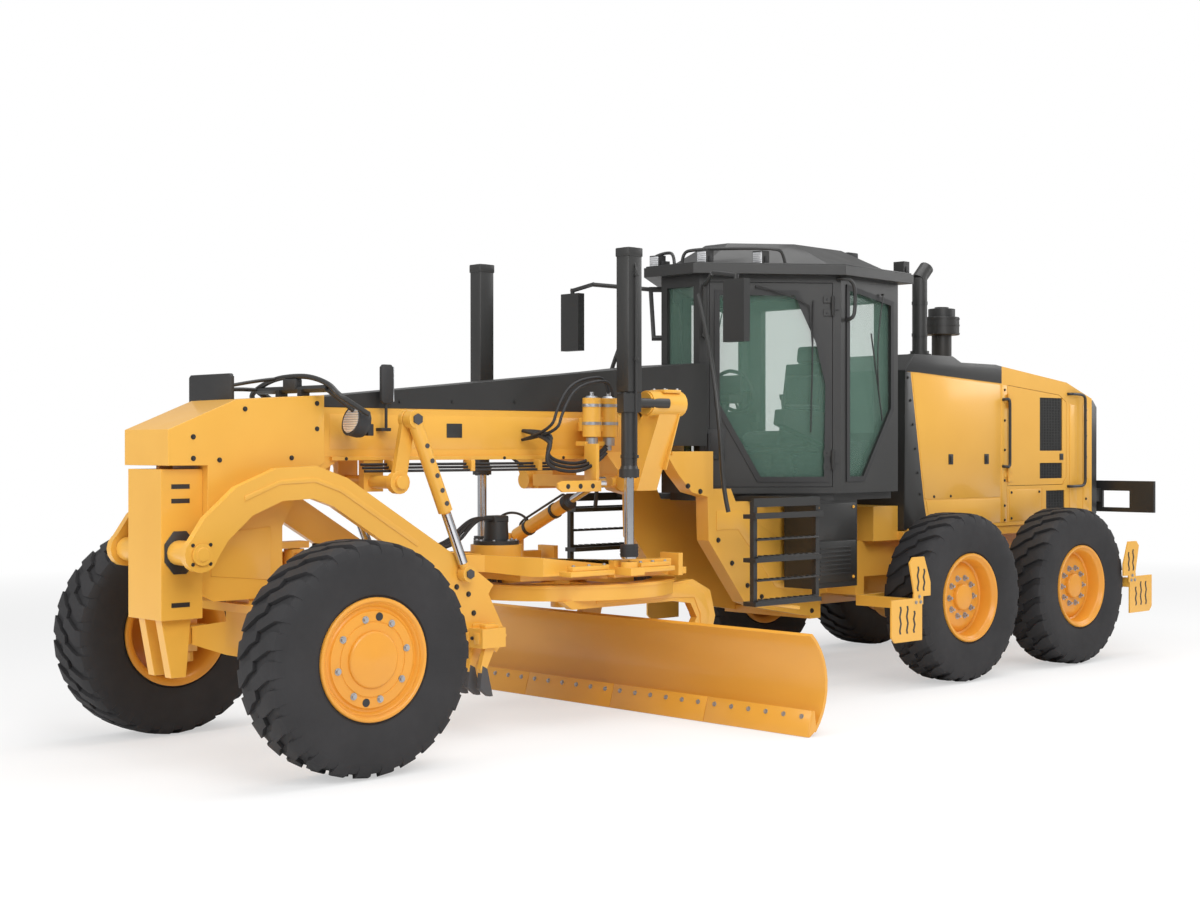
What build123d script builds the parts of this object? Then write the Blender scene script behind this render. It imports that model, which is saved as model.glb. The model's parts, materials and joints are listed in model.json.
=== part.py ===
# Motor grader with a mid-mount scarifier, drawn in millimetres.
# Working frame: X forward from the centre between the two rear axles, Y to the
# machine's left, Z up from the ground. save() moves it into the shared frame.
from build123d import *
import math
import os

os.makedirs("parts", exist_ok=True)

SHIFT_X = 2345.0
SHIFT_Y = 211.0

# ---- sizes that several pieces share ------------------------------------
WHEELBASE = 6123.0
TANDEM_HALF = 761.5
TYRE_R = 645.0
TYRE_Y = 1070.0
HUB_Z = TYRE_R
RIM_R = 306.0
FLANGE_R = 338.0
RIM_HALF = 178.0
HINGE_X = 1450.0
BEAM_HALF = 152.0
BEAM_LOW = 1735.0
BEAM_TOP = 2031.0
AXLE_HALF = 60.0    # half length of the front axle's beam along the machine
EAR_IN = 64.0       # the ears that hold it start and end here
EAR_OUT = 103.0
RUN = 0.05          # radial clearance of a turning pin


def block(x0, x1, y0, y1, z0, z1):
    return Pos((x0 + x1) / 2, (y0 + y1) / 2, (z0 + z1) / 2) * Box(x1 - x0, y1 - y0, z1 - z0)


def prism(points, direction):
    wire = Wire.make_polygon([Vector(*p) for p in points], close=True)
    return Solid.extrude(Face(wire), Vector(*direction))


def side(points, y0, y1):
    """Outline in X and Z, drawn out from y0 to y1."""
    return prism([(x, y0, z) for x, z in points], (0, y1 - y0, 0))


def plan(points, z0, z1):
    """Outline in X and Y, drawn up from z0 to z1."""
    return prism([(x, y, z0) for x, y in points], (0, 0, z1 - z0))


def front(points, x0, x1):
    """Outline in Y and Z, drawn out from x0 to x1."""
    return prism([(x0, y, z) for y, z in points], (x1 - x0, 0, 0))


def pin(p, q, r):
    """Round bar from p to q: what turns, and the bores it turns in."""
    along = Vector(*q) - Vector(*p)
    seat = Plane(origin=Vector(*p), z_dir=along).location
    return seat * Pos(0, 0, along.length / 2) * Cylinder(r, along.length)


def rod(p, q, r, sides=0):
    """Bar from p to q with flat facets, for bosses, tubes and housings."""
    if sides == 0:
        sides = 8 if r < 24 else 12 if r < 45 else 16 if r < 110 else 24 if r < 250 else 48
    along = Vector(*q) - Vector(*p)
    seat = Plane(origin=Vector(*p), z_dir=along).location
    return seat * extrude(RegularPolygon(r, sides), along.length)


def mirrored(shape):
    return mirror(shape, about=Plane.XZ)


def both(shape):
    return shape + mirrored(shape)


def fused(shapes):
    shapes = list(shapes)
    total = shapes[0]
    for piece in shapes[1:]:
        total = total + piece
    return total


def drum(section, sides):
    """Many-sided body of flat faces about a wheel's axle: stations of outward distance and radius."""
    turns = [2 * math.pi * i / sides for i in range(sides)]
    rings = [[Vector(r * math.sin(a), y, r * math.cos(a)) for a in turns] for y, r in section]
    outlines = [rings[0], rings[-1]]
    for near, far in zip(rings, rings[1:]):
        outlines += [[near[i - 1], near[i], far[i], far[i - 1]] for i in range(sides)]
    body = Solid(Shell([Face(Wire.make_polygon(corners, close=True)) for corners in outlines]))
    return body.fix()


def band(path, depth, y0, y1):
    """Plate of constant depth that follows a path in X and Z."""
    upper = []
    lower = []
    for i, (x, z) in enumerate(path):
        x0, z0 = path[max(i - 1, 0)]
        x1, z1 = path[min(i + 1, len(path) - 1)]
        run = math.hypot(x1 - x0, z1 - z0)
        nx = -(z1 - z0) / run * depth / 2
        nz = (x1 - x0) / run * depth / 2
        upper.append((x + nx, z + nz))
        lower.append((x - nx, z - nz))
    return side(upper + lower[::-1], y0, y1)


def save(shape, name):
    export_step(Pos(-SHIFT_X, -SHIFT_Y, 0) * shape, f"parts/{name}.step")


# ---- wheels --------------------------------------------------------------
BORE = 60.0
LUGS = 26           # tread bars on each half of a tyre, half a step apart
LUG_HALF = 34.0
LUG_LEAN = 4.0
CARCASS = [(-193, 480), (-186, 600), (-160, 620), (160, 620), (186, 600), (193, 480)]
RIM_SIDES = 20


def tread_bar(i, hand):
    """One lug: a leaning bar from near the middle of the tread to its shoulder."""
    low, high = 590.0, TYRE_R
    outline = [(LUG_LEAN - LUG_HALF, 10), (LUG_LEAN + LUG_HALF, 10), (LUG_HALF - LUG_LEAN, 178),
               (-LUG_HALF - LUG_LEAN, 178)]
    bar = plan([(x, hand * y) for x, y in outline], low, high)
    return Rot(0, 360.0 * (i + (0.5 if hand > 0 else 0.0)) / LUGS, 0) * bar


def tyre():
    carcass = drum(CARCASS, LUGS)
    dish = drum([(162.5, 342), (194, 475)], RIM_SIDES)
    carcass -= dish + mirrored(dish)
    carcass -= drum([(-200, RIM_R + 0.5), (200, RIM_R + 0.5)], RIM_SIDES)
    return carcass + [tread_bar(i, hand) for i in range(LUGS) for hand in (1, -1)]


def rim(disc):
    body = drum([(-163, RIM_R), (163, RIM_R)], RIM_SIDES)
    body += drum([(-RIM_HALF, FLANGE_R), (-163, FLANGE_R)], RIM_SIDES)
    body += drum([(163, FLANGE_R), (RIM_HALF, FLANGE_R)], RIM_SIDES)
    body -= drum([(-RIM_HALF - 1, 284), (150, 284)], RIM_SIDES)
    body -= drum([(150, 284), (RIM_HALF + 1, 317)], RIM_SIDES)
    return body + disc


def front_disc():
    """Flat disc near the outer edge of the rim, on a plain hub."""
    disc = drum([(0, 115), (130, 115)], 16) + drum([(126, 284.5), (148, 284.5)], RIM_SIDES)
    return disc + drum([(148, 120), (170, 112)], 16) - pin((0, -10, 0), (0, 102, 0), BORE)


def dished_disc():
    """Deep cone that carries the rim well inboard of its edge."""
    disc = drum([(20, 284.5), (46, 284.5), (72, 222)], RIM_SIDES) - drum([(18, 285), (44, 212)], RIM_SIDES)
    disc += drum([(-60, 150), (60, 150)], 16) + drum([(70, 110), (102, 100)], 16)
    return disc - pin((0, -70, 0), (0, 60, 0), BORE)


TYRE = tyre()
RIM = {"front": rim(front_disc()), "dished": rim(dished_disc())}
WHEELS = [          # axle, side, place along the machine, disc
    ("front", "left", WHEELBASE, "front"),
    ("front", "right", WHEELBASE, "front"),
    ("middle", "left", TANDEM_HALF, "dished"),
    ("middle", "right", TANDEM_HALF, "dished"),
    ("rear", "left", -TANDEM_HALF, "dished"),
    ("rear", "right", -TANDEM_HALF, "dished"),
]
for axle, hand, x, disc in WHEELS:
    place = Pos(x, TYRE_Y, HUB_Z)
    for name, shape in (("tyre", place * TYRE), ("rim", place * RIM[disc])):
        save(shape if hand == "left" else mirrored(shape), f"{name}_{axle}_{hand}")

# ---- rear frame, drives and engine ---------------------------------------
CASE_LOW = 455.0
CASE_HIGH = 835.0
case = block(-TANDEM_HALF, TANDEM_HALF, 640, 840, CASE_LOW, CASE_HIGH)
for x in (-TANDEM_HALF, TANDEM_HALF):
    case += rod((x, 640, HUB_Z), (x, 840, HUB_Z), 190)
    case += rod((x, 840, HUB_Z), (x, 1005, HUB_Z), 130)
    case += pin((x, 1005, HUB_Z), (x, TYRE_Y + 56, HUB_Z), BORE - RUN)
STEP_UPPER = [(1325, 700), (1325, 800), (1400, 990), (1530, 990), (1570, 950), (1510, 700)]
STEP_LOWER = [(1425, 380), (1425, 690), (1780, 690), (1780, 420), (1740, 380)]
step = side(STEP_LOWER, 1275, 1290) + side(STEP_UPPER, 1275, 1290) + side(
    [(1412, 640), (1412, 720), (1520, 720), (1520, 640)], 1275, 1290)
step += block(940, 1470, 690, 730, 600, 680) + block(1425, 1470, 690, 1280, 600, 680)
case += step + mirror(step, about=Plane.YZ)
axle_tube = rod((0, -640, HUB_Z), (0, 640, HUB_Z), 150) + rod((0, -170, HUB_Z), (0, 170, HUB_Z), 300)
save(both(case) + axle_tube, "tandem_drives")

RAIL_IN = 330.0
RAIL_OUT = 420.0
rails = both(block(-1900, 1150, RAIL_IN, RAIL_OUT, 780, 1060))
rear = rails + block(1050, 1150, -RAIL_OUT, RAIL_OUT, 640, 1060)
rear += block(-1985, -1900, -560, 560, 640, 1130)
rear += block(-1900, 700, -590, 590, 1060, 1130)
rear += block(1150, HINGE_X, -120, 120, 640, 960) + rod((HINGE_X, 0, 640), (HINGE_X, 0, 960), 120)
rear += pin((HINGE_X, 0, 520), (HINGE_X, 0, 1080), 60 - RUN)
rear += block(780, 1080, -540, 540, 1060, 1330)
rear += block(700, 780, -590, 590, 1060, 1130)
rear -= rod((0, -650, HUB_Z), (0, 650, HUB_Z), 150.4)
rear -= rod((0, -170.5, HUB_Z), (0, 170.5, HUB_Z), 300.4)
save(rear, "rear_frame")

save(block(-1300, 300, -300, 300, 1130, 1750), "engine")

# ---- hood ----------------------------------------------------------------
HOOD_HALF = 600.0
SKIN = 40.0
HOOD_TOP = [(735, 1130), (735, 2400), (640, 2480), (-440, 2480), (-1500, 2360), (-1905, 2225), (-1905, 1130)]
HOOD_IN = [(700, 1129), (700, 2380), (620, 2430), (-440, 2440), (-1490, 2320), (-1865, 2195), (-1865, 1129)]
hood = side(HOOD_TOP, -HOOD_HALF, HOOD_HALF) - side(HOOD_IN, -HOOD_HALF + SKIN, HOOD_HALF - SKIN)
DOOR_X0 = -1500.0
DOOR_X1 = -611.0
DOOR_HOLE = [(DOOR_X1, 1463), (DOOR_X1, 2316), (-1380, 2250), (DOOR_X0, 2190), (DOOR_X0, 1530), (-1440, 1463)]
DOOR_LEAF = [(-615, 1467), (-615, 2312), (-1379, 2246), (-1496, 2187), (-1496, 1532), (-1438, 1467)]
hood -= both(side(DOOR_HOLE, 550, 610))
door = side(DOOR_LEAF, 562, 600)
HINGE_Y = 616.0
HINGE_DOOR_X = -609.0
for z in (1560.0, 2180.0):
    for z0, z1 in ((z - 60, z - 20), (z + 20, z + 60)):
        door += block(-680, HINGE_DOOR_X, 600, 608, z0, z1)
        door += rod((HINGE_DOOR_X, HINGE_Y, z0), (HINGE_DOOR_X, HINGE_Y, z1), 12)
    door += pin((HINGE_DOOR_X, HINGE_Y, z - 60), (HINGE_DOOR_X, HINGE_Y, z + 60), 5)
    knuckle = block(HINGE_DOOR_X, -560, 600, 608, z - 20, z + 20)
    knuckle += rod((HINGE_DOOR_X, HINGE_Y, z - 20), (HINGE_DOOR_X, HINGE_Y, z + 20), 12)
    hood += both(knuckle - pin((HINGE_DOOR_X, HINGE_Y, z - 30), (HINGE_DOOR_X, HINGE_Y, z + 30), 5 + RUN))
PATCHES = [         # recessed mesh panels in a door: rear end, front end, low and high edge
    (-1435, -1090, 1760, 2220),
    (-1435, -1090, 1520, 1655),
]
for x0, x1, z0, z1 in PATCHES:
    door -= block(x0, x1, 592, 610, z0, z1)
hood -= both(block(-1468, -1185, 592, 610, 1140, 1415))
hood -= both(block(-1125, -1120, 594, 610, 1150, 1440) + block(-610, -605, 594, 610, 1150, 1440))
save(hood, "hood")
save(door, "hood_door_left")
save(mirrored(door), "hood_door_right")

cowl = side([(765, 2400), (640, 2530), (150, 2530), (100, 2480), (640, 2480), (735, 2400)], -590, 590)
cowl += side([(735, 1140), (735, 2400), (765, 2400), (778, 1140)], -600, 600)
save(cowl, "hood_cowl")

grille = front([(-560, 1135), (-600, 1200), (-600, 2150), (-560, 2215), (560, 2215), (600, 2150),
                (600, 1200), (560, 1135)], -1985, -1905)
bracket = block(-2110, -2080, 500, 1130, 1210, 1490) - block(-2120, -2070, 600, 880, 1250, 1400)
bracket += block(-2080, -1985, 500, 580, 1300, 1420)
for i in range(9):
    z = 1240 + 102 * i
    grille -= block(-1995, -1970, -520, 520, z, z + 46)
save(grille + both(bracket), "rear_grille")

PIPE_X, PIPE_Y = 200.0, 300.0
stack = rod((PIPE_X, PIPE_Y, 2530), (PIPE_X, PIPE_Y, 3180), 62)
stack += rod((PIPE_X + 20, PIPE_Y, 3160), (PIPE_X - 90, PIPE_Y, 3270), 61)
save(stack, "exhaust_stack")
CLEAN_X, CLEAN_Y = -290.0, 150.0
cleaner = rod((CLEAN_X, CLEAN_Y, 2480), (CLEAN_X, CLEAN_Y, 2740), 85)
cleaner += rod((CLEAN_X, CLEAN_Y, 2740), (CLEAN_X, CLEAN_Y, 2890), 150)
cleaner += rod((CLEAN_X, CLEAN_Y, 2890), (CLEAN_X, CLEAN_Y, 2960), 115)
save(cleaner, "air_precleaner")

# ---- front frame ---------------------------------------------------------
BALL_X, BALL_Z = 5850.0, 1120.0
NOSE_BACK = 6020.0
AXLE_Z = HUB_Z
CRANK_X, CRANK_Z = 5400.0, 1580.0
PLATE_IN, PLATE_OUT = 330.0, 450.0
frame = block(2750, 5760, -BEAM_HALF, BEAM_HALF, BEAM_LOW, BEAM_TOP)
frame += block(2750, 5700, -175, 175, 1712, BEAM_LOW)
frame += side([(5500, BEAM_TOP), (6300, BEAM_TOP), (6552, 1900), (6552, 960), (6460, 915), (6060, 915),
               (NOSE_BACK, 960), (NOSE_BACK, 1330), (5900, 1560), (5640, 1712), (5500, 1712)], -150, 150)
EARS = ((WHEELBASE - EAR_OUT, WHEELBASE - EAR_IN), (WHEELBASE + EAR_IN, WHEELBASE + EAR_OUT))
for x0, x1 in EARS:
    frame += block(x0, x1, -130, 130, 620, 930)
frame += pin((WHEELBASE - EAR_OUT, 0, AXLE_Z + 40), (WHEELBASE + EAR_OUT, 0, AXLE_Z + 40), 40 - RUN)
frame += both(block(CRANK_X - 70, CRANK_X + 70, 110, 165, CRANK_Z - 60, 1720))
frame -= pin((CRANK_X, -200, CRANK_Z), (CRANK_X, 200, CRANK_Z), 40)
FLANK = [(3200, 1735), (3090, 1600), (2960, 1475), (2805, 1440), (2795, 1130), (2430, 670), (2280, 620),
         (1600, 500), (1600, 1100), (1900, 1240), (1900, 1400), (2520, 1400), (2570, 1494), (2750, 1494), (2750, 1735)]
frame += both(side(FLANK, PLATE_IN, PLATE_OUT))
frame += block(2750, 3150, -PLATE_OUT, PLATE_OUT, 1712, 1762)
for z0, z1 in ((500, 560), (1040, 1100)):
    frame += block(HINGE_X, 1720, -PLATE_OUT, PLATE_OUT, z0, z1) - block(
        1300, 1600, 130, 500, z0 - 5, z1 + 5) - block(1300, 1600, -500, -130, z0 - 5, z1 + 5)
    frame += rod((HINGE_X, 0, z0), (HINGE_X, 0, z1), 130)
frame -= pin((HINGE_X, 0, 400), (HINGE_X, 0, 1200), 60)
save(frame, "front_frame")

lugs = [block(BALL_X - 70, NOSE_BACK - 0.3, -54, 54, z0, z1) - pin((BALL_X, 0, 1000), (BALL_X, 0, 1240), 35)
        for z0, z1 in ((1010, 1050), (1190, 1230))]
save(Compound(lugs), "drawbar_fork")

cover = side([(5790, 2031.5), (5790, 2090), (2800, 2390), (2660, 2390), (2660, 1800), (3000, 1800), (3200, 2031.5)],
             -320, 320)
cover = cover & plan([(5800, 155), (3500, 155), (3100, 300), (2650, 300), (2650, -300), (3100, -300),
                      (3500, -155), (5800, -155)], 1700, 2500)
cover -= block(2600, 5900, -153, 153, 1700, 2031.5)
save(cover, "beam_cover")

nose = side([(5800, 2000), (5800, 2100), (6380, 2062), (6790, 1890), (6790, 1690), (6552, 1690), (6552, 1380),
             (5970, 1600), (5800, 1700)], -250, 250)
nose -= side([(5790, 1300), (5790, BEAM_TOP), (6300, BEAM_TOP), (6552, 1900), (6552, 1300)], -152, 152)
save(nose, "nose_cover")

PIVOT_X, PIVOT_Z = 6700.0, 1205.0
push = block(6552, 6800, -190, 190, 830, 1670)
push += both(side([(6590, 830), (6770, 830), (6710, 500), (6620, 500)], 60, 130))
push += both(rod((PIVOT_X, 190, PIVOT_Z), (PIVOT_X, 395, PIVOT_Z), 70) +
             pin((PIVOT_X, 395, PIVOT_Z), (PIVOT_X, 470, PIVOT_Z), 39.95))
push += block(6640, 6720, -20, 20, 1670, 1689)
save(push, "push_block")

# front axle: a beam pinned under the nose
LEAN_Y = 655.0
KING_Y = 800.0
beam = front([(-600, 590), (-600, 700), (-200, 760), (200, 760), (600, 700), (600, 590), (200, 560),
              (-200, 560)], WHEELBASE - AXLE_HALF, WHEELBASE + AXLE_HALF)
beam += both(block(WHEELBASE - AXLE_HALF, WHEELBASE + AXLE_HALF, 590, LEAN_Y, HUB_Z - 55, HUB_Z + 55) +
             rod((WHEELBASE - AXLE_HALF, LEAN_Y, HUB_Z), (WHEELBASE + AXLE_HALF, LEAN_Y, HUB_Z), 60))
beam -= both(pin((WHEELBASE - 100, LEAN_Y, HUB_Z), (WHEELBASE + 100, LEAN_Y, HUB_Z), 30))
beam -= pin((WHEELBASE - 100, 0, AXLE_Z + 40), (WHEELBASE + 100, 0, AXLE_Z + 40), 40)
save(beam, "front_axle")

yoke = block(WHEELBASE - AXLE_HALF, WHEELBASE + AXLE_HALF, 722, KING_Y, HUB_Z - 55, HUB_Z + 55)
yoke += rod((WHEELBASE, KING_Y, 535), (WHEELBASE, KING_Y, 755), 58)
yoke += block(WHEELBASE - 40, WHEELBASE + 40, 722, KING_Y, 535, 755)
yoke += block(WHEELBASE - EAR_OUT, WHEELBASE - EAR_IN, LEAN_Y - 50, KING_Y - 30, HUB_Z - 50, HUB_Z + 50)
yoke += block(WHEELBASE + EAR_IN, WHEELBASE + EAR_OUT, LEAN_Y - 50, KING_Y - 30, HUB_Z - 50, HUB_Z + 50)
yoke += block(WHEELBASE - EAR_IN, WHEELBASE + EAR_IN, 724, KING_Y - 30, HUB_Z - 50, HUB_Z + 50)
yoke += pin((WHEELBASE - EAR_OUT, LEAN_Y, HUB_Z), (WHEELBASE + EAR_OUT, LEAN_Y, HUB_Z), 30 - RUN)
BAR_Z = 860.0
BAR_X0 = WHEELBASE + EAR_OUT + 6
BAR_X1 = BAR_X0 + 38
yoke += front([(LEAN_Y - 40, HUB_Z), (LEAN_Y - 32, BAR_Z), (LEAN_Y, BAR_Z + 34), (LEAN_Y + 32, BAR_Z),
               (LEAN_Y + 60, HUB_Z)], WHEELBASE + EAR_IN, WHEELBASE + EAR_OUT)
yoke += pin((WHEELBASE + EAR_OUT, LEAN_Y, BAR_Z), (BAR_X1 + 2, LEAN_Y, BAR_Z), 20 - RUN)
yoke -= pin((WHEELBASE, KING_Y, 500), (WHEELBASE, KING_Y, 800), 32)
save(yoke, "lean_yoke_left")
save(mirrored(yoke), "lean_yoke_right")
bar = block(BAR_X0, BAR_X1, -LEAN_Y, LEAN_Y, BAR_Z - 26, BAR_Z + 26)
bar += both(rod((BAR_X0, LEAN_Y, BAR_Z), (BAR_X1, LEAN_Y, BAR_Z), 34))
bar -= both(pin((BAR_X0 - 32, LEAN_Y, BAR_Z), (BAR_X1 + 30, LEAN_Y, BAR_Z), 20))
save(bar, "lean_bar")

knuckle = pin((WHEELBASE, KING_Y, 470), (WHEELBASE, KING_Y, 820), 32 - RUN)
for z0, z1 in ((470, 528), (762, 820)):
    knuckle += block(WHEELBASE - 50, WHEELBASE + 50, KING_Y, 930, z0, z1)
    knuckle += rod((WHEELBASE, KING_Y, z0), (WHEELBASE, KING_Y, z1), 50)
knuckle += block(WHEELBASE - 80, WHEELBASE + 80, 872, 930, 470, 820)
knuckle += rod((WHEELBASE, 930, HUB_Z), (WHEELBASE, TYRE_Y - 4, HUB_Z), 100)
knuckle += pin((WHEELBASE, TYRE_Y - 4, HUB_Z), (WHEELBASE, TYRE_Y + 98, HUB_Z), BORE - RUN)
save(knuckle, "knuckle_left")
save(mirrored(knuckle), "knuckle_right")

# ---- blade gear ----------------------------------------------------------
save(rod((BALL_X, 0, 1056), (BALL_X, 0, 1184), 60) + pin((BALL_X, 0, 1010), (BALL_X, 0, 1230), 35 - RUN) -
     pin((BALL_X, -100, BALL_Z), (BALL_X, 100, BALL_Z), 30), "drawbar_ball")

FOOT_X, FOOT_Y, FOOT_Z = 3850.0, 775.0, 1080.0
CIRCLE_X = 3750.0
CIRCLE_TOP = 900.0
CIRCLE_LOW = 800.0
ARM_LEG = [(BALL_X + 40, 70), (BALL_X - 60, 70), (5500, 74), (4950, 140), (4600, 180), (4330, 500), (3420, 640),
           (3420, 720), (4400, 570), (4620, 250), (5010, 212), (5560, 145), (BALL_X - 40, 110), (BALL_X + 40, 110)]
drawbar = both(plan(ARM_LEG, 960, 1165) & side([(6000, 1060), (6000, 1180), (5500, 1160), (3900, 1052), (3300, 1045),
                                               (3300, 965), (4450, 965), (4600, 990), (5100, 1035)], 0, 1000))
drawbar += pin((BALL_X, -110, BALL_Z), (BALL_X, 110, BALL_Z), 30 - RUN)
drawbar += plan([(4450, -400), (4450, 400), (3850, 640), (3200, 640), (3200, -640), (3850, -640)], 930, 975)
drawbar += both(block(3330, 3370, 560, 740, 930, 1080))
drawbar += both(block(3790, 3910, 640, 700, 940, 1050) + block(3790, 3910, 690, 860, 960, 1010))
drawbar += both(rod((FOOT_X, FOOT_Y, 1010), (FOOT_X, FOOT_Y, FOOT_Z - 34), 56))
drawbar += rod((4330, 0, 975), (4330, 0, 1150), 170) + block(4200, 4460, -260, 260, 975, 1030)
drawbar += pin((CIRCLE_X, 0, 700), (CIRCLE_X, 0, 930), 90 - RUN)
for x0, x1 in ((3730, 3760), (3840, 3870)):
    drawbar += block(x0, x1, -545, -455, 975, 1150) + rod((x0, -500, 1150), (x1, -500, 1150), 45)
drawbar += pin((3730, -500, 1150), (3870, -500, 1150), 18 - RUN)
save(drawbar, "drawbar")

circle = rod((CIRCLE_X, 0, CIRCLE_LOW), (CIRCLE_X, 0, CIRCLE_TOP), 765)
circle -= rod((CIRCLE_X, 0, 700), (CIRCLE_X, 0, 1000), 610)
circle += rod((CIRCLE_X, 0, CIRCLE_LOW), (CIRCLE_X, 0, CIRCLE_TOP), 160)
circle += block(CIRCLE_X - 640, CIRCLE_X + 640, -70, 70, CIRCLE_LOW, CIRCLE_TOP - 20)
circle += block(CIRCLE_X - 70, CIRCLE_X + 70, -640, 640, CIRCLE_LOW, CIRCLE_TOP - 20)
circle -= pin((CIRCLE_X, 0, 600), (CIRCLE_X, 0, 1000), 90)
ARM_IN, ARM_OUT = 560.0, 620.0
TIP_X, TIP_Z = 3130.0, 330.0
HANGER = [(4280, 799), (3120, 885), (2950, 800), (2900, 620), (2960, 420), (TIP_X - 60, TIP_Z - 50),
          (TIP_X, TIP_Z - 75), (TIP_X + 75, TIP_Z), (3160, 480), (3080, 620), (3140, 720), (3300, 745), (4200, 745)]
circle += both(side(HANGER, ARM_IN, ARM_OUT) & block(2800, 4300, ARM_IN, ARM_OUT, 200, 885))
circle -= both(pin((TIP_X, 500, TIP_Z), (TIP_X, 700, TIP_Z), 30))
save(circle, "circle")

# blade: curved plate, square across, with the tip bracket behind it
BLADE_R = 413.0
BLADE_T = 22.0
BLADE_LEFT = 2040.0
BLADE_RIGHT = -1618.0


def arc_at(radius, steps, cx, cz, a0, a1):
    points = []
    for i in range(steps + 1):
        a = math.radians(a0 + (a1 - a0) * i / steps)
        points.append((cx + radius * math.cos(a), cz + radius * math.sin(a)))
    return points


ARC_X, ARC_Z = 3500 + 265.0, 315.0
inner = arc_at(BLADE_R, 10, ARC_X, ARC_Z, 132, 222)
outer = arc_at(BLADE_R + BLADE_T, 10, ARC_X, ARC_Z, 132, 222)
blade = side(inner + outer[::-1], BLADE_RIGHT, BLADE_LEFT)
foot_x, foot_z = inner[-1]
blade += side([(foot_x - 6, foot_z + 120), (foot_x + 10, foot_z + 120), (3512, 0), (3496, 0), (foot_x - 22, foot_z)],
              BLADE_RIGHT, BLADE_LEFT)
RAIL_X = 3300.0
for z in (180.0, 450.0):
    blade += block(RAIL_X - 20, RAIL_X + 52, BLADE_RIGHT + 120, BLADE_LEFT - 120, z - 25, z + 25)
save(blade, "moldboard")

bracket = pin((TIP_X, -700, TIP_Z), (TIP_X, 700, TIP_Z), 30 - RUN)
bracket += rod((TIP_X, -500, TIP_Z), (TIP_X, 500, TIP_Z), 55)
for z in (180.0, 450.0):
    bracket += both(block(RAIL_X - 60, RAIL_X - 20.5, 300, 540, z - 60, z + 60))
    bracket += both(block(RAIL_X - 60, RAIL_X + 10, 300, 540, z - 60, z - 25.5) +
                    block(RAIL_X - 60, RAIL_X + 10, 300, 540, z + 25.5, z + 60))
bracket += both(block(TIP_X - 40, RAIL_X - 58, 400, 440, 140, 500))
save(bracket, "blade_bracket")

# ---- saddle, lift and shift cylinders ------------------------------------
TRUNNION_Z = 2080.0
ARM_X0, ARM_X1 = 3420.0, 3640.0
saddle = front([(-153, 2031), (-300, 2000), (-300, 1760), (-430, 1640), (-430, 1520), (430, 1520), (430, 1640),
                (300, 1760), (300, 2000), (153, 2031), (153, 1736), (176, 1736), (176, 1711),
                (-176, 1711), (-176, 1736), (-153, 1736)], ARM_X0, ARM_X1)
saddle -= block(ARM_X0 - 5, ARM_X1 + 5, -250, 250, 1500, 1640)
saddle += block(ARM_X1, ARM_X1 + 30, -430, 430, 1520, 1600)
lever = front([(430, 1500), (600, 1500), (640, 1600), (850, 2080), (700, 2080), (520, 1800), (430, 1640)],
              ARM_X0 + 20, ARM_X1 - 20)
lever += rod((ARM_X0 - 20, 775, TRUNNION_Z), (ARM_X1 + 60, 775, TRUNNION_Z), 85)
lever += rod((ARM_X0, 520, 1560), (ARM_X1 + 40, 520, 1560), 62)
saddle += both(lever)
saddle += rod((ARM_X1, 430, 1560), (ARM_X1 + 70, 430, 1560), 30)
TURN = 21.2
for hand in (1, -1):
    bore = Pos(FOOT_X, hand * FOOT_Y, 0) * Rot(0, 0, -hand * TURN) * pin((-60, 0, TRUNNION_Z), (-420, 0, TRUNNION_Z), 32)
    saddle -= bore
save(saddle, "blade_saddle")

jacket = rod((0, 0, 1600), (0, 0, 3090), 52) + block(-62, 62, -62, 62, TRUNNION_Z - 60, TRUNNION_Z + 60)
jacket += pin((-60, 0, TRUNNION_Z), (-280, 0, TRUNNION_Z), 32 - RUN)
jacket -= pin((0, 0, 1500), (0, 0, 3060), 32)
shaft = pin((0, 0, FOOT_Z + 30), (0, 0, 2400), 32 - RUN)
shaft += rod((0, 0, FOOT_Z - 14), (0, 0, FOOT_Z + 62), 52)
for hand, name in ((1, "left"), (-1, "right")):
    place = Pos(FOOT_X, hand * FOOT_Y, 0) * Rot(0, 0, -hand * TURN)
    save(place * jacket, f"lift_barrel_{name}")
    save(place * shaft, f"lift_rod_{name}")

# side-shift cylinder of the circle, from the drawbar's right up to the saddle's left
SHIFT_LOW = (3800.0, -500.0, 1150.0)
SHIFT_HIGH = (3800.0, 430.0, 1560.0)
low = Vector(*SHIFT_LOW)
high = Vector(*SHIFT_HIGH)
unit = (high - low).normalized()


def on_shift(distance):
    p = low + unit * distance
    return (p.X, p.Y, p.Z)


shift_length = (high - low).length
barrel = rod(on_shift(60), on_shift(680), 48) - pin(on_shift(90), on_shift(700), 25)
barrel += rod((3765, SHIFT_LOW[1], SHIFT_LOW[2]), (3835, SHIFT_LOW[1], SHIFT_LOW[2]), 40)
barrel += rod(on_shift(20), on_shift(80), 30)
barrel -= pin((3700, -500, 1150), (3900, -500, 1150), 18)
save(barrel, "shift_barrel")
piston = pin(on_shift(365), on_shift(shift_length - 30), 25 - RUN)
piston += rod((3770, SHIFT_HIGH[1], SHIFT_HIGH[2]), (3830, SHIFT_HIGH[1], SHIFT_HIGH[2]), 40)
save(piston, "shift_rod")

tanks = block(3640, 3900, 300, 400, 1800, 1830)
for x in (3690.0, 3840.0):
    tanks += rod((x, 395, 1860), (x, 395, 2120), 62) + rod((x, 395, 1800), (x, 395, 1860), 30)
tanks += block(3640, 3870, 300, 400, 1900, 1990) + block(3660, 3760, 152, 300, 1900, 1960)
save(tanks, "accumulators")

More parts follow.
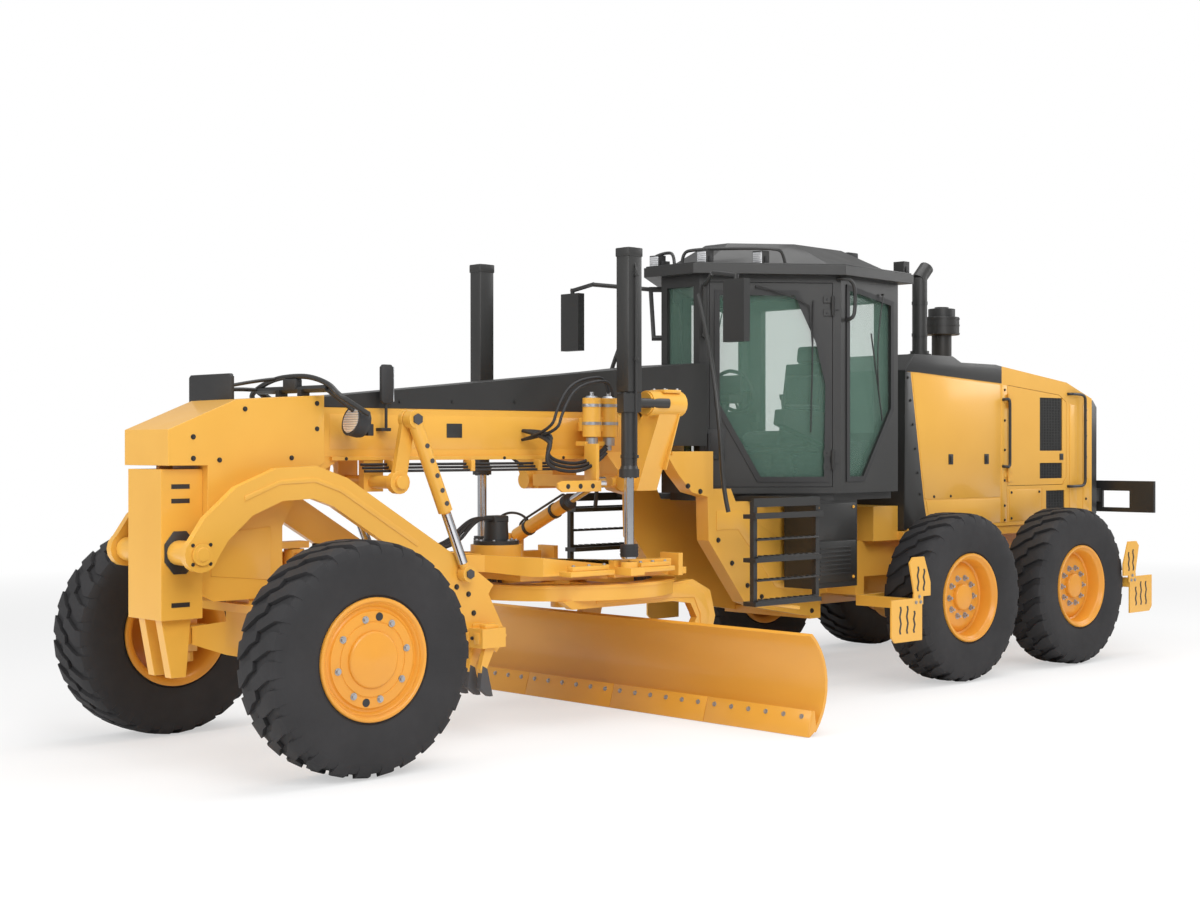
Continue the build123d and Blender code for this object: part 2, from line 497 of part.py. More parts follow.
# ---- scarifier -----------------------------------------------------------
SCAR_IN, SCAR_OUT = 400.0, 450.0
ARM_PATH = [(PIVOT_X, PIVOT_Z), (6610, 1340), (6440, 1490), (6220, 1580), (5990, 1590), (5820, 1530),
            (5280, 1190), (4900, 950), (4760, 850)]
END_PLATE = [(5060, 980), (4930, 1010), (4780, 940), (4600, 600), (4680, 500), (4960, 700)]
arm = band(ARM_PATH, 190, SCAR_IN, SCAR_OUT) + rod((PIVOT_X, SCAR_IN, PIVOT_Z), (PIVOT_X, SCAR_OUT, PIVOT_Z), 100)
arm += side(END_PLATE, SCAR_IN, SCAR_OUT)
arm -= pin((PIVOT_X, 300, PIVOT_Z), (PIVOT_X, 500, PIVOT_Z), 40)
scarifier = both(arm) + block(4720, 4900, -592, 592, 550, 670)
SHANK = [(4880, 690), (4800, 690), (4800, 560), (4870, 420), (4830, 250), (4850, 250), (4920, 420), (4880, 560)]
for i in range(11):
    y = -540 + 108 * i
    back = 60 - abs(i - 5) * 12
    scarifier += side([(x + back - 30, z) for x, z in SHANK], y - 18, y + 18)
save(scarifier, "scarifier")

LINK_TOP = (5330.0, 1960.0)
LINK_LOW = (4940.0, 1010.0)
crank = pin((CRANK_X, -470, CRANK_Z), (CRANK_X, 470, CRANK_Z), 40 - RUN)
plate = band([(CRANK_X, CRANK_Z), LINK_TOP], 90, 400, 440)
plate += rod((CRANK_X, 395, CRANK_Z), (CRANK_X, 445, CRANK_Z), 70)
plate += rod((LINK_TOP[0], 400, LINK_TOP[1]), (LINK_TOP[0], 440, LINK_TOP[1]), 60)
plate += pin((LINK_TOP[0], 440, LINK_TOP[1]), (LINK_TOP[0], 530, LINK_TOP[1]), 25 - RUN)
save(crank + both(plate), "scarifier_crank")
strut = rod((LINK_TOP[0], 485, LINK_TOP[1]), (5100, 485, 1400), 45)
strut += rod((5100, 485, 1400), (LINK_LOW[0], 485, LINK_LOW[1]), 28)
strut += rod((LINK_TOP[0], 450, LINK_TOP[1]), (LINK_TOP[0], 520, LINK_TOP[1]), 58)
strut += rod((LINK_LOW[0], 456, LINK_LOW[1]), (LINK_LOW[0], 520, LINK_LOW[1]), 50)
strut -= pin((LINK_TOP[0], 400, LINK_TOP[1]), (LINK_TOP[0], 600, LINK_TOP[1]), 25)
save(both(strut), "scarifier_struts")

# ---- cab -----------------------------------------------------------------
NOSE_X, NOSE_Y = 2640.0, 200.0
POST_X, POST_Y = 1850.0, 870.0
BACK_X, BACK_Y = 1090.0, 790.0
CAB_LOW, CAB_HIGH = 1455.0, 3040.0
WALL = 60.0
SHELL = [(NOSE_X, NOSE_Y), (POST_X, POST_Y), (BACK_X, BACK_Y), (BACK_X, -BACK_Y), (POST_X, -POST_Y), (NOSE_X, -NOSE_Y)]
INSIDE = [(NOSE_X - WALL, NOSE_Y - 28), (POST_X, POST_Y - 79), (BACK_X + WALL, BACK_Y - 68),
          (BACK_X + WALL, 68 - BACK_Y), (POST_X, 79 - POST_Y), (NOSE_X - WALL, 28 - NOSE_Y)]
door_run = math.hypot(NOSE_X - POST_X, POST_Y - NOSE_Y)
door_turn = math.degrees(math.atan2(NOSE_Y - POST_Y, NOSE_X - POST_X))
DOOR_SEAT = Pos(POST_X, POST_Y, 0) * Rot(0, 0, door_turn)


def on_door(points, y0, y1):
    """Outline along the left door from its rear post, and up, pushed through the wall."""
    return DOOR_SEAT * side(points, y0, y1)


DOOR_ROUND = [(60, 1500), (60, 2990), (door_run - 70, 2990), (door_run - 70, 1500)]
DOOR_PANEL = [(64, 1504), (64, 2986), (door_run - 74, 2986), (door_run - 74, 1504)]
DOOR_GLASS = [(110, 1560), (100, 2250), (170, 2560), (330, 2910), (door_run - 130, 2910), (door_run - 130, 2100),
              (door_run - 300, 1800), (600, 1560)]
cab = plan(SHELL, CAB_LOW, CAB_HIGH) - plan(INSIDE, CAB_LOW + 44, CAB_HIGH - 60)
hole = on_door(DOOR_ROUND, -110, 60)
door_solid = (cab & on_door(DOOR_PANEL, -100, 50)) - on_door(DOOR_GLASS, -110, 60)
cab -= both(hole)
HINGE_S, HINGE_OUT = 62.0, 22.0
for z in (1700.0, 2820.0):
    for z0, z1 in ((z - 70, z - 25), (z + 25, z + 70)):
        door_solid += on_door([(64, z0), (64, z1), (130, z1), (130, z0)], 0, 12)
        door_solid += DOOR_SEAT * rod((HINGE_S, HINGE_OUT, z0), (HINGE_S, HINGE_OUT, z1), 14)
    door_solid += DOOR_SEAT * pin((HINGE_S, HINGE_OUT, z - 70), (HINGE_S, HINGE_OUT, z + 70), 6)
    knuckle = on_door([(12, z - 25), (12, z + 25), (62, z + 25), (62, z - 25)], 0, 12)
    knuckle += DOOR_SEAT * rod((HINGE_S, HINGE_OUT, z - 25), (HINGE_S, HINGE_OUT, z + 25), 14)
    cab += both(knuckle - DOOR_SEAT * pin((HINGE_S, HINGE_OUT, z - 40), (HINGE_S, HINGE_OUT, z + 40), 6 + RUN))
REAR_GLASS = [(POST_X - 90, 1560), (POST_X - 90, 2960), (BACK_X + 90, 2880), (BACK_X + 90, 2080), (1560, 1560)]
side_hole = side(REAR_GLASS, 700, 900)
cab -= both(side_hole)
cab -= block(BACK_X - 20, BACK_X + WALL + 20, -600, 600, 1900, 2900)
cab -= block(NOSE_X - 80, NOSE_X + 20, -140, 140, 1640, 2960)
save(cab, "cab_shell")
save(door_solid, "cab_door_left")
save(mirrored(door_solid), "cab_door_right")
door_pane = on_door(DOOR_GLASS, -36, -30)
save(door_pane, "door_glass_left")
save(mirrored(door_pane), "door_glass_right")
pane = plan([(POST_X, POST_Y - 30), (BACK_X, BACK_Y - 30), (BACK_X, BACK_Y - 36), (POST_X, POST_Y - 36)],
            1500, 3000) & side(REAR_GLASS, 600, 900)
glass = both(pane) + block(BACK_X + 20, BACK_X + 26, -600, 600, 1900, 2900)
glass += block(NOSE_X - 34, NOSE_X - 28, -140, 140, 1640, 2960)
save(glass, "cab_glass")

ROOF = [(2760, 260), (1900, 960), (1010, 880), (1010, -880), (1900, -960), (2760, -260)]
roof = plan(ROOF, CAB_HIGH, 3110)
CROWN = [(2260, 120), (1880, 430), (1300, 400), (1300, -400), (1880, -430), (2260, -120)]
BASE = [(2600, 190), (1880, 820), (1100, 760), (1100, -760), (1880, -820), (2600, -190)]
roof += loft([Face(Wire.make_polygon([Vector(x, y, z) for x, y in ring], close=True))
              for z, ring in ((3110, BASE), (3306, CROWN))])
save(roof, "cab_roof")

SEAT_X = 1560.0
seat = rod((SEAT_X, 0, CAB_LOW + 44), (SEAT_X, 0, 1760), 130)
seat += block(SEAT_X - 230, SEAT_X + 260, -250, 250, 1760, 1900)
seat += side([(SEAT_X - 230, 1900), (SEAT_X - 330, 2420), (SEAT_X - 230, 2440), (SEAT_X - 90, 1900)], -240, 240)
seat += both(block(SEAT_X - 60, SEAT_X + 420, 300, 430, 1960, 2080) + block(SEAT_X - 20, SEAT_X + 60, 240, 320, 1820, 2080))
seat += both(rod((SEAT_X + 360, 365, 2080), (SEAT_X + 380, 365, 2260), 22))
save(seat, "operator_seat")

deck = plan([(2560, 190), (1850, 800), (1100, 730), (1100, -730), (1850, -800), (2560, -190)], 1400, 1455)
steps = block(2200, 2900, 980, 1010, 1300, 1340)
for x in (2230.0, 2870.0):
    steps += block(x - 18, x + 18, 942, 978, 700, 1420)
for z in (700.0, 1000.0, 1300.0):
    steps += block(2210, 2890, 880, 1000, z, z + 30)
steps += block(2210, 2270, 400, 985, 1400, 1440) + block(2340, 2400, 300, 985, 1400, 1440) + block(2210, 2890, 960, 985, 1380, 1440)
boxes = block(1560, 2060, 500, 780, 760, 1400)
save(deck + both(steps + boxes), "cab_base")

post = door_run - 35


def by_door(s, out, z):
    a = math.radians(door_turn)
    return (POST_X + s * math.cos(a) - out * math.sin(a), POST_Y + s * math.sin(a) + out * math.cos(a), z)


MIRROR_X, MIRROR_Y = 2935.0, 860.0
arm = fused([
    rod(by_door(post, 0, 2960), by_door(post, 95, 2960), 20),
    rod(by_door(post, 0, 2600), by_door(post, 75, 2600), 20),
    rod(by_door(post, 84, 2975), by_door(post, 60, 2585), 16),
    rod(by_door(post, 70, 2959), (2935, 630, 3001), 16),
    rod((2928, 625, 3004), (MIRROR_X, MIRROR_Y + 10, 2968), 16),
    rod((MIRROR_X, MIRROR_Y, 2985), (MIRROR_X, MIRROR_Y, 2900), 16),
    block(MIRROR_X - 30, MIRROR_X + 30, MIRROR_Y - 100, MIRROR_Y + 100, 2515, 2945),
])
save(both(arm), "mirrors")

lamps = both(rod((5620, 380, 1930), (5700, 380, 1950), 85))
for x, y in ((2630, 250), (2330, 520), (1060, 800)):
    lamps += both(Pos(x, y, 3160) * Box(70, 100, 100))
lamps += rod((5860, -380, 2135), (5860, 380, 2135), 22)
lamps += both(rod((5860, 380, 2135), (5660, 380, 2000), 22))
lamps += both(side([(5830, 2098.035), (5890, 2094.104), (5890, 2135), (5830, 2135)], 100, 140))
save(lamps, "lamps")
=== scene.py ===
# %% [markdown]
# # Dressing a motor grader
# The frame holds a motor grader as plain solids: wheels, drives, frames, blade gear and cab.
# This lesson gives those solids their paint, glass and rubber, and adds what is too fine for
# them: tread, bolts, hoses, lamps, handles and the seat. We start by loading the solids.
# Nothing that we add may make the machine larger.

# %% Load the machine
import bpy
import bmesh
import json
import math
from mathutils import Matrix, Vector


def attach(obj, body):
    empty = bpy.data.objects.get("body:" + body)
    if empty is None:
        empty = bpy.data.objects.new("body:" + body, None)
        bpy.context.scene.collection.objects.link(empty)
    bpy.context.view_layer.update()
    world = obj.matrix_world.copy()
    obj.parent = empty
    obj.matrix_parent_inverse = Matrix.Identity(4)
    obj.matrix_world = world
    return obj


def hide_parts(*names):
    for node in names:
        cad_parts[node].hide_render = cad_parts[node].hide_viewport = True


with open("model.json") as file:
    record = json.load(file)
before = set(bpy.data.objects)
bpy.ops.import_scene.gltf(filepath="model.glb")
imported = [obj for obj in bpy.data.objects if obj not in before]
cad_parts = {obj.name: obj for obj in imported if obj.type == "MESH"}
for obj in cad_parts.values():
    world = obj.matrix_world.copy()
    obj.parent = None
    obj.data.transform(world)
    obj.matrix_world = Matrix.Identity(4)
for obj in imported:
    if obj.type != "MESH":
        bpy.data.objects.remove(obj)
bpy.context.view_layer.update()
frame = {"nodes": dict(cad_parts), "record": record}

# %% [markdown]
# A fitter measures this machine from the ground, its middle line and the point halfway
# between the two driven axles. The shared frame's zero lies elsewhere, so one small function
# turns millimetres on the machine into metres in the shared frame.

# %% Places on the machine
MM = 0.001
ORIGIN = Vector((2.345, 0.211, 0.0))
LEFT, RIGHT = 1, -1
SIDES = (LEFT, RIGHT)
HANDS = {"left": LEFT, "right": RIGHT}


def at(x, y, z):
    """A place in millimetres on the machine, as metres in the shared frame."""
    return Vector((x, y, z)) * MM - ORIGIN


def thing(name, data):
    """A new object in the scene."""
    obj = bpy.data.objects.new(name, data)
    bpy.context.scene.collection.objects.link(obj)
    return obj


print("hub of the left front wheel:", at(6123, 1070, 645))

# %% [markdown]
# The camera stands in front of the machine's left side, a little above the hubs, and looks
# level. A long lens keeps the upright edges upright, and a small sideways shift frames the
# machine without turning the camera.

# %% Camera
CAMERA_AT = at(11579, 9260, 1794)
CAMERA_LOOK = Vector((-0.7291, -0.6844, -0.0048))
camera_data = bpy.data.cameras.new("camera")
camera_data.lens = 52.7
camera_data.sensor_width = 36.0
camera_data.shift_x = -0.139
camera_data.shift_y = 0.0044
camera = thing("camera", camera_data)
camera.location = CAMERA_AT
camera.rotation_euler = CAMERA_LOOK.to_track_quat("-Z", "Y").to_euler()
bpy.context.scene.camera = camera
print("camera lens:", camera_data.lens)

# %% [markdown]
# ## Finishes
# Every finish here is a small node tree. Paint on a new machine is even, but not perfectly so:
# it has a faint orange peel, and its gloss drifts a little from panel to panel. Noise on Object
# coordinates gives both, because each object sits at the origin and the pattern then stays put.

# %% A node helper


def tree(name):
    """A new material with its shader, and a function that adds and wires nodes."""
    material = bpy.data.materials.new(name)
    material.use_nodes = True
    nodes, links = material.node_tree.nodes, material.node_tree.links
    shader = nodes["Principled BSDF"]

    def add(kind, settings=None, wires=None):
        node = nodes.new(kind)
        for key, value in (settings or {}).items():
            if key in node.inputs:
                node.inputs[key].default_value = value
            else:
                setattr(node, key, value)
        for key, source in (wires or {}).items():
            links.new(source, node.inputs[key])
        return node

    def wire(source, socket):
        links.new(source, shader.inputs[socket])

    return material, shader, add, wire


def noise_at(add, scale, detail=4.0, stretch=(1, 1, 1)):
    """Noise on Object coordinates, which may be stretched."""
    place = add("ShaderNodeTexCoord")
    turn = add("ShaderNodeMapping", {"Scale": stretch}, {"Vector": place.outputs["Object"]})
    return add("ShaderNodeTexNoise", {"Scale": scale, "Detail": detail},
               {"Vector": turn.outputs["Vector"]})


# %% Paint, rubber and metal


def solid_finish(name, colour, tone, rough, metal=0.0, coat=0.0, peel=0.04, peel_scale=170.0,
                 drift=0.07, patch=1.6, stretch=(1, 1, 1)):
    """A surface whose colour drifts towards a second tone, with uneven gloss and fine bumps."""
    material, shader, add, wire = tree(name)
    shader.inputs["Metallic"].default_value = metal
    shader.inputs["Coat Weight"].default_value = coat
    shader.inputs["Coat Roughness"].default_value = 0.12
    broad = noise_at(add, patch, 5.0, stretch)
    mix = add("ShaderNodeMix", {"data_type": "RGBA"})
    mix.inputs[6].default_value = (*colour, 1)
    mix.inputs[7].default_value = (*tone, 1)
    spread = add("ShaderNodeMapRange", {"From Min": 0.35, "From Max": 0.7},
                 {"Value": broad.outputs["Fac"]})
    material.node_tree.links.new(spread.outputs["Result"], mix.inputs[0])
    wire(mix.outputs[2], "Base Color")
    gloss = noise_at(add, patch * 5, 3.0, stretch)
    rough_range = add("ShaderNodeMapRange", {"To Min": rough - drift, "To Max": rough + drift},
                      {"Value": gloss.outputs["Fac"]})
    wire(rough_range.outputs["Result"], "Roughness")
    fine = noise_at(add, peel_scale, 2.0, stretch)
    bump = add("ShaderNodeBump", {"Strength": peel, "Distance": 0.002},
               {"Height": fine.outputs["Fac"]})
    wire(bump.outputs["Normal"], "Normal")
    return material


yellow = solid_finish("yellow_paint", (0.86, 0.46, 0.07), (0.81, 0.42, 0.058), 0.36, coat=0.35)
deep_yellow = solid_finish("rim_paint", (0.82, 0.36, 0.035), (0.74, 0.31, 0.03), 0.42, coat=0.2)
blade_paint = solid_finish("blade_paint", (0.80, 0.39, 0.05), (0.70, 0.32, 0.035), 0.33, coat=0.3,
                           stretch=(1, 0.3, 1))
black = solid_finish("black_paint", (0.030, 0.030, 0.029), (0.022, 0.022, 0.022), 0.42, coat=0.1)
moulded = solid_finish("black_plastic", (0.022, 0.022, 0.023), (0.030, 0.030, 0.031), 0.58,
                       peel=0.18, peel_scale=420.0)
rubber = solid_finish("tyre_rubber", (0.017, 0.0165, 0.018), (0.026, 0.025, 0.027), 0.74, peel=0.25,
                      peel_scale=300.0, patch=3.0)
hose_rubber = solid_finish("hose_rubber", (0.018, 0.018, 0.019), (0.028, 0.028, 0.030), 0.55,
                           peel=0.2, peel_scale=500.0, patch=9.0)
chrome = solid_finish("cylinder_chrome", (0.72, 0.73, 0.75), (0.62, 0.63, 0.66), 0.16, metal=1.0,
                      drift=0.05, peel=0.01)
zinc = solid_finish("zinc_bolts", (0.50, 0.51, 0.53), (0.40, 0.41, 0.43), 0.38, metal=0.85,
                    peel=0.1, patch=8.0)
iron = solid_finish("engine_iron", (0.10, 0.10, 0.105), (0.07, 0.07, 0.075), 0.62, metal=0.3,
                    peel=0.3)
print("finishes so far:", len(bpy.data.materials))

# %% [markdown]
# Cab glass is thin and faintly green, and the cab behind it is dark, so a see-through shader
# with a soft green tint and a clean surface reads better than a deep refractive one. A lamp's
# lens has ribs, which a wave pattern cuts as bumps; the same pattern also paints the lens in
# light and dark stripes, which are painted glints on the ribs.

# %% Glass, lens, mirror and cloth
glass, shader, add, wire = tree("window_glass")
shader.inputs["Alpha"].default_value = 0.2
shader.inputs["IOR"].default_value = 1.45
shader.inputs["Specular IOR Level"].default_value = 0.7
film = noise_at(add, 2.5)
tint = add("ShaderNodeValToRGB", None, {"Fac": film.outputs["Fac"]})
tint.color_ramp.elements[0].color = (0.20, 0.36, 0.28, 1)
tint.color_ramp.elements[1].color = (0.25, 0.44, 0.35, 1)
wire(tint.outputs["Color"], "Base Color")
haze = add("ShaderNodeMapRange", {"To Min": 0.03, "To Max": 0.09}, {"Value": film.outputs["Fac"]})
wire(haze.outputs["Result"], "Roughness")


def banded_finish(name, wave, low, high, rough, strength, deep):
    """A finish with fine bands, from a wave pattern that colours and bumps it."""
    material, shader, add, wire = tree(name)
    bands = add("ShaderNodeTexWave", wave, {"Vector": add("ShaderNodeTexCoord").outputs["Object"]})
    ramp = add("ShaderNodeValToRGB", None, {"Fac": bands.outputs["Fac"]})
    ramp.color_ramp.elements[0].color = (*low, 1)
    ramp.color_ramp.elements[1].color = (*high, 1)
    wire(ramp.outputs["Color"], "Base Color")
    shader.inputs["Roughness"].default_value = rough
    bump = add("ShaderNodeBump", {"Strength": strength, "Distance": deep},
               {"Height": bands.outputs["Fac"]})
    wire(bump.outputs["Normal"], "Normal")
    return material, shader


# the lens's light and dark bands are painted glints on its ribs, beside the real bumps
lens, shader = banded_finish("lamp_lens",
                             {"Scale": 22.0, "Distortion": 0.4, "bands_direction": "Z"},
                             (0.55, 0.56, 0.58), (0.92, 0.93, 0.95), 0.15, 0.5, 0.003)
shader.inputs["Metallic"].default_value = 0.55
shader.inputs["Coat Weight"].default_value = 1.0
shader.inputs["Coat Roughness"].default_value = 0.03
mirror_face = solid_finish("mirror_face", (0.75, 0.77, 0.80), (0.70, 0.72, 0.75), 0.08, metal=1.0,
                           drift=0.03, peel=0.0)

cloth, shader = banded_finish("seat_cloth",
                              {"Scale": 260.0, "Distortion": 1.5, "bands_direction": "DIAGONAL"},
                              (0.020, 0.021, 0.023), (0.065, 0.066, 0.070), 0.85, 0.4, 0.001)
shader.inputs["Sheen Weight"].default_value = 0.25
print("all finishes:", sorted(m.name for m in bpy.data.materials))

# %% [markdown]
# ## Painting the solids
# The solids come with hard edges and flat facets. Real plate has a small round on each edge,
# which catches the light. Three modifiers give that without touching the solid: Weld joins its
# loose triangles, a planar Decimate makes one face of each flat, and Bevel rounds what is left.

# %% Give each solid its finish
FINISH_OF_SLOT = {"yellow_paint": yellow, "black_paint": black, "tyre_rubber": rubber,
                  "window_glass": glass, "cylinder_chrome": chrome, "seat_cloth": cloth,
                  "engine_iron": iron, "lamp_lens": lens, "blade_steel": blade_paint}
slot_of = {part["node"]: part["material_slot"] for part in frame["record"]["subparts"]}


def soften(obj, width=3.0, angle=32.0):
    """Rounds a solid's edges by modifiers alone."""
    for polygon in obj.data.polygons:
        polygon.use_smooth = True
    weld = obj.modifiers.new("weld", "WELD")
    weld.merge_threshold = 2e-5
    flats = obj.modifiers.new("flats", "DECIMATE")
    flats.decimate_type = "DISSOLVE"
    flats.angle_limit = math.radians(0.6)
    edge = obj.modifiers.new("edge", "BEVEL")
    edge.width = width * MM
    edge.segments = 2
    edge.limit_method = "ANGLE"
    edge.angle_limit = math.radians(angle)
    edge.harden_normals = True
    edge.use_clamp_overlap = True


for node, obj in frame["nodes"].items():
    obj.data.materials.clear()
    obj.data.materials.append(FINISH_OF_SLOT[slot_of[node]])
    if "custom_normal" in obj.data.attributes:
        obj.data.attributes.remove(obj.data.attributes["custom_normal"])
    if slot_of[node] not in ("window_glass", "tyre_rubber"):
        soften(obj)
print("painted solids:", len(slot_of))

# %% [markdown]
# ## Tools for new pieces
# Small pieces come from a few bmesh operators: a box, a round bar, and a plate cut to an outline
# and pushed to its thickness. Each takes millimetres on the machine, so the numbers are the
# ones a fitter would read off a drawing.

# %% Box, bar and plate


def edges_of(verts):
    """Every edge that meets some points, each listed once."""
    return list(dict.fromkeys(edge for vert in verts for edge in vert.link_edges))


def round_edges(bm, edges, width):
    """Rounds some edges of a mesh in the making."""
    bmesh.ops.bevel(bm, geom=edges, offset=width * MM, offset_type="OFFSET", segments=2,
                    profile=0.5, affect="EDGES", clamp_overlap=True, material=-1)


def box(bm, low, high, edge=0.0):
    """A box between two corners, with rounded edges if wanted."""
    a, b = at(*low), at(*high)
    size = b - a
    placed = Matrix.Translation((a + b) / 2) @ Matrix.Diagonal((*size, 1))
    made = bmesh.ops.create_cube(bm, size=1.0, matrix=placed)
    if edge:
        round_edges(bm, edges_of(made["verts"]), edge)


def bar(bm, start, end, radius, sides=20, end_radius=None):
    """A round bar, or a taper if its end has another radius."""
    a, b = at(*start), at(*end)
    turn = (b - a).to_track_quat("Z", "Y").to_matrix().to_4x4()
    bmesh.ops.create_cone(bm, cap_ends=True, segments=sides, radius1=radius * MM,
                          radius2=(radius if end_radius is None else end_radius) * MM,
                          depth=(b - a).length, matrix=Matrix.Translation((a + b) / 2) @ turn)


def plate(bm, outline, push, edge=0.0):
    """A flat outline of points, pushed along a vector into a plate."""
    face = bm.faces.new([bm.verts.new(at(*point)) for point in outline])
    grown = bmesh.ops.extrude_face_region(bm, geom=[face])
    top = [g for g in grown["geom"] if isinstance(g, bmesh.types.BMVert)]
    bmesh.ops.translate(bm, verts=top, vec=Vector(push) * MM)
    if edge:
        round_edges(bm, edges_of(top + list(face.verts)), edge)


# %% Hex bolts


def bolt(bm, place, axis, size=15.0):
    """A washer and a hexagon head that stand on a surface."""
    a, out = at(*place), Vector(axis).normalized()
    turn = out.to_track_quat("Z", "Y").to_matrix().to_4x4()
    for radius, low, high, sides in ((1.35, -0.3, 0.22, 14), (1.0, 0.2, 0.95, 6)):
        middle = a + out * (low + high) / 2 * size * MM
        bmesh.ops.create_cone(bm, cap_ends=True, segments=sides, radius1=radius * size * MM,
                              radius2=radius * size * MM * (0.93 if sides == 6 else 1.0),
                              depth=(high - low) * size * MM,
                              matrix=Matrix.Translation(middle) @ turn)


def piece(bm, name, body, finish, sharp=35.0, replaces=()):
    """Turns a mesh in the making into a piece that rides on a body."""
    bmesh.ops.recalc_face_normals(bm, faces=bm.faces[:])
    for face in bm.faces:
        face.smooth = True
    for edge in bm.edges:
        if len(edge.link_faces) != 2 or edge.calc_face_angle(0.0) > math.radians(sharp):
            edge.smooth = False
    mesh = bpy.data.meshes.new(name)
    bm.to_mesh(mesh)
    bm.free()
    obj = thing(name, mesh)
    mesh.materials.append(finish)
    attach(obj, body)
    if replaces:
        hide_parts(*replaces)
    print(name, "has", len(mesh.polygons), "faces and rides on", body)


# %% Hoses


def hoses(name, body, runs, finish=hose_rubber):
    """Round tubes along smooth lines: each run is (radius, points)."""
    curve = bpy.data.curves.new(name, "CURVE")
    curve.dimensions = "3D"
    curve.bevel_depth = MM
    curve.bevel_resolution = 3
    curve.use_fill_caps = True
    for radius, points in runs:
        line = curve.splines.new("NURBS")
        line.points.add(len(points) - 1)
        for knot, point in zip(line.points, points):
            knot.co = (*at(*point), 1.0)
            knot.radius = radius
        line.order_u = 3
        line.use_endpoint_u = True
        line.resolution_u = 6
    obj = thing(name, curve)
    curve.materials.append(finish)
    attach(obj, body)
    print(name, "has", len(runs), "runs and rides on", body)


# %% [markdown]
# ## Tyres
# A grader's tyre has a smooth, bulging side and thick bars that run from each shoulder to the
# middle, where they lock into those of the other side. The carcass is a profile spun about the
# axle. One bar is a box, cut into slices along its length, and its points are then wrapped
# round the carcass. The other bars are turned copies.

# %% Spin a profile about an axle


def spun(bm, profile, centre, facing, steps=72):
    """A profile of (radius, outward distance) in millimetres, spun about a wheel's axle."""
    c = at(*centre)
    ring = [bm.verts.new(c + Vector((r, 0, facing * y)).xzy * MM) for r, y in profile]
    edges = [bm.edges.new(pair) for pair in zip(ring, ring[1:])]
    bmesh.ops.spin(bm, geom=ring + edges, cent=c, axis=(0, 1, 0), angle=math.tau, steps=steps,
                   use_merge=True)
    bmesh.ops.remove_doubles(bm, verts=bm.verts[:], dist=1e-6)


TYRE_PROFILE = [(307, -150), (312, -158), (345, -160), (352, -170), (380, -177), (430, -186),
                (490, -192), (550, -192), (590, -187), (612, -172), (620, -140), (622, 0),
                (620, 140), (612, 172), (590, 187), (550, 192), (490, 192), (430, 186),
                (380, 177), (352, 170), (345, 160), (312, 158), (307, 150)]
BARS = 26
# distance from the middle, shift along the tread, half width, top radius, foot radius
BAR_SLICES = [(-14, 96, 34, 644, 612), (40, 74, 40, 645, 612), (92, 34, 50, 644, 610),
              (140, 4, 53, 640, 604), (172, 0, 52, 626, 588), (190, 0, 46, 588, 560)]


def tread_bar(bm, centre, facing, turn, hand):
    """One bar of the tread, at an angle about the axle."""
    c = at(*centre)
    rows = []
    for across, shift, half, top, foot in BAR_SLICES:
        row = []
        for radius, way in ((foot, -1), (foot, 1), (top, 1), (top, -1)):
            narrow = half - (4 if radius == top else -3)
            angle = turn - hand * facing * (shift + way * narrow) / 645.0
            y = hand * across
            spoke = Vector((math.cos(angle) * radius, y, math.sin(angle) * radius))
            row.append(bm.verts.new(c + spoke * MM))
        rows.append(row)
    loops = [[bm.edges.new((row[i], row[(i + 1) % 4])) for i in range(4)] for row in rows]
    for near, far in zip(loops, loops[1:]):
        bmesh.ops.bridge_loops(bm, edges=near + far)
    bm.faces.new(rows[0])
    bm.faces.new(rows[-1])


WHEEL_X = {"front": 6123.0, "middle": 761.5, "rear": -761.5}
WHEEL_Y = 1070.0
HUB_Z = 645.0
for axle, x in WHEEL_X.items():
    for hand, facing in HANDS.items():
        centre = (x, facing * WHEEL_Y, HUB_Z)
        bm = bmesh.new()
        spun(bm, TYRE_PROFILE, centre, facing)
        for i in range(BARS):
            for side, offset in ((1, 0.0), (-1, 0.5)):
                tread_bar(bm, centre, facing, (i + offset) * math.tau / BARS, side)
        piece(bm, f"tread_{axle}_{hand}", f"wheel_{axle}_{hand}", rubber,
              sharp=38, replaces=[f"tyre_{axle}_{hand}"])

# %% [markdown]
# ## Rims
# The front rims are flat: a stepped cap in the middle, eight bolts and two hand holes, and a
# rolled lip that the tyre sits against. The hand holes are not cut; two dark discs on the rim
# are painted shade where they would show dark. The driven rims are deep dishes, with ten nuts
# on a small circle. Each is one profile, spun.

# %% Rims with their nuts
FRONT_RIM = [(0, 176), (30, 176), (38, 173), (140, 171), (150, 167), (155, 160), (156, 152),
             (200, 151), (203, 147), (207, 147), (210, 151), (262, 149), (268, 139), (276, 134),
             (284, 134), (289, 140), (293, 150), (299, 156), (305, 154), (310, 158), (314, 170),
             (322, 177), (332, 177), (338, 170), (338, 158), (306, 158), (306, -163), (338, -163),
             (338, -178), (316, -178), (284, -150), (284, 100), (60, 100), (60, 40), (0, 40)]
DEEP_RIM = [(0, 112), (88, 112), (97, 108), (101, 96), (103, 74), (212, 72), (236, 66), (270, 40),
            (284, 48), (290, 140), (298, 156), (310, 162), (314, 172), (322, 178), (332, 178),
            (338, 170), (338, 158), (306, 158), (306, -163), (338, -163), (338, -178), (316, -178),
            (284, -150), (284, 20), (215, 44), (150, 44), (150, -60), (60, -60), (0, -60)]
# how many, ring radius, distance outward, first angle in degrees, size, stud length
DRIVEN_NUTS = (10, 150, 73, 0, 18, 34)
NUTS = {"front": (8, 223, 150, 12, 15, 0), "middle": DRIVEN_NUTS, "rear": DRIVEN_NUTS}
HOLE_RING = 233


def on_wheel(x, facing, radius, angle, level):
    """A place on a wheel: radius and angle about its axle, and distance outward from its middle."""
    return Vector((x - radius * math.cos(angle), facing * (WHEEL_Y + level),
                   HUB_Z + radius * math.sin(angle)))


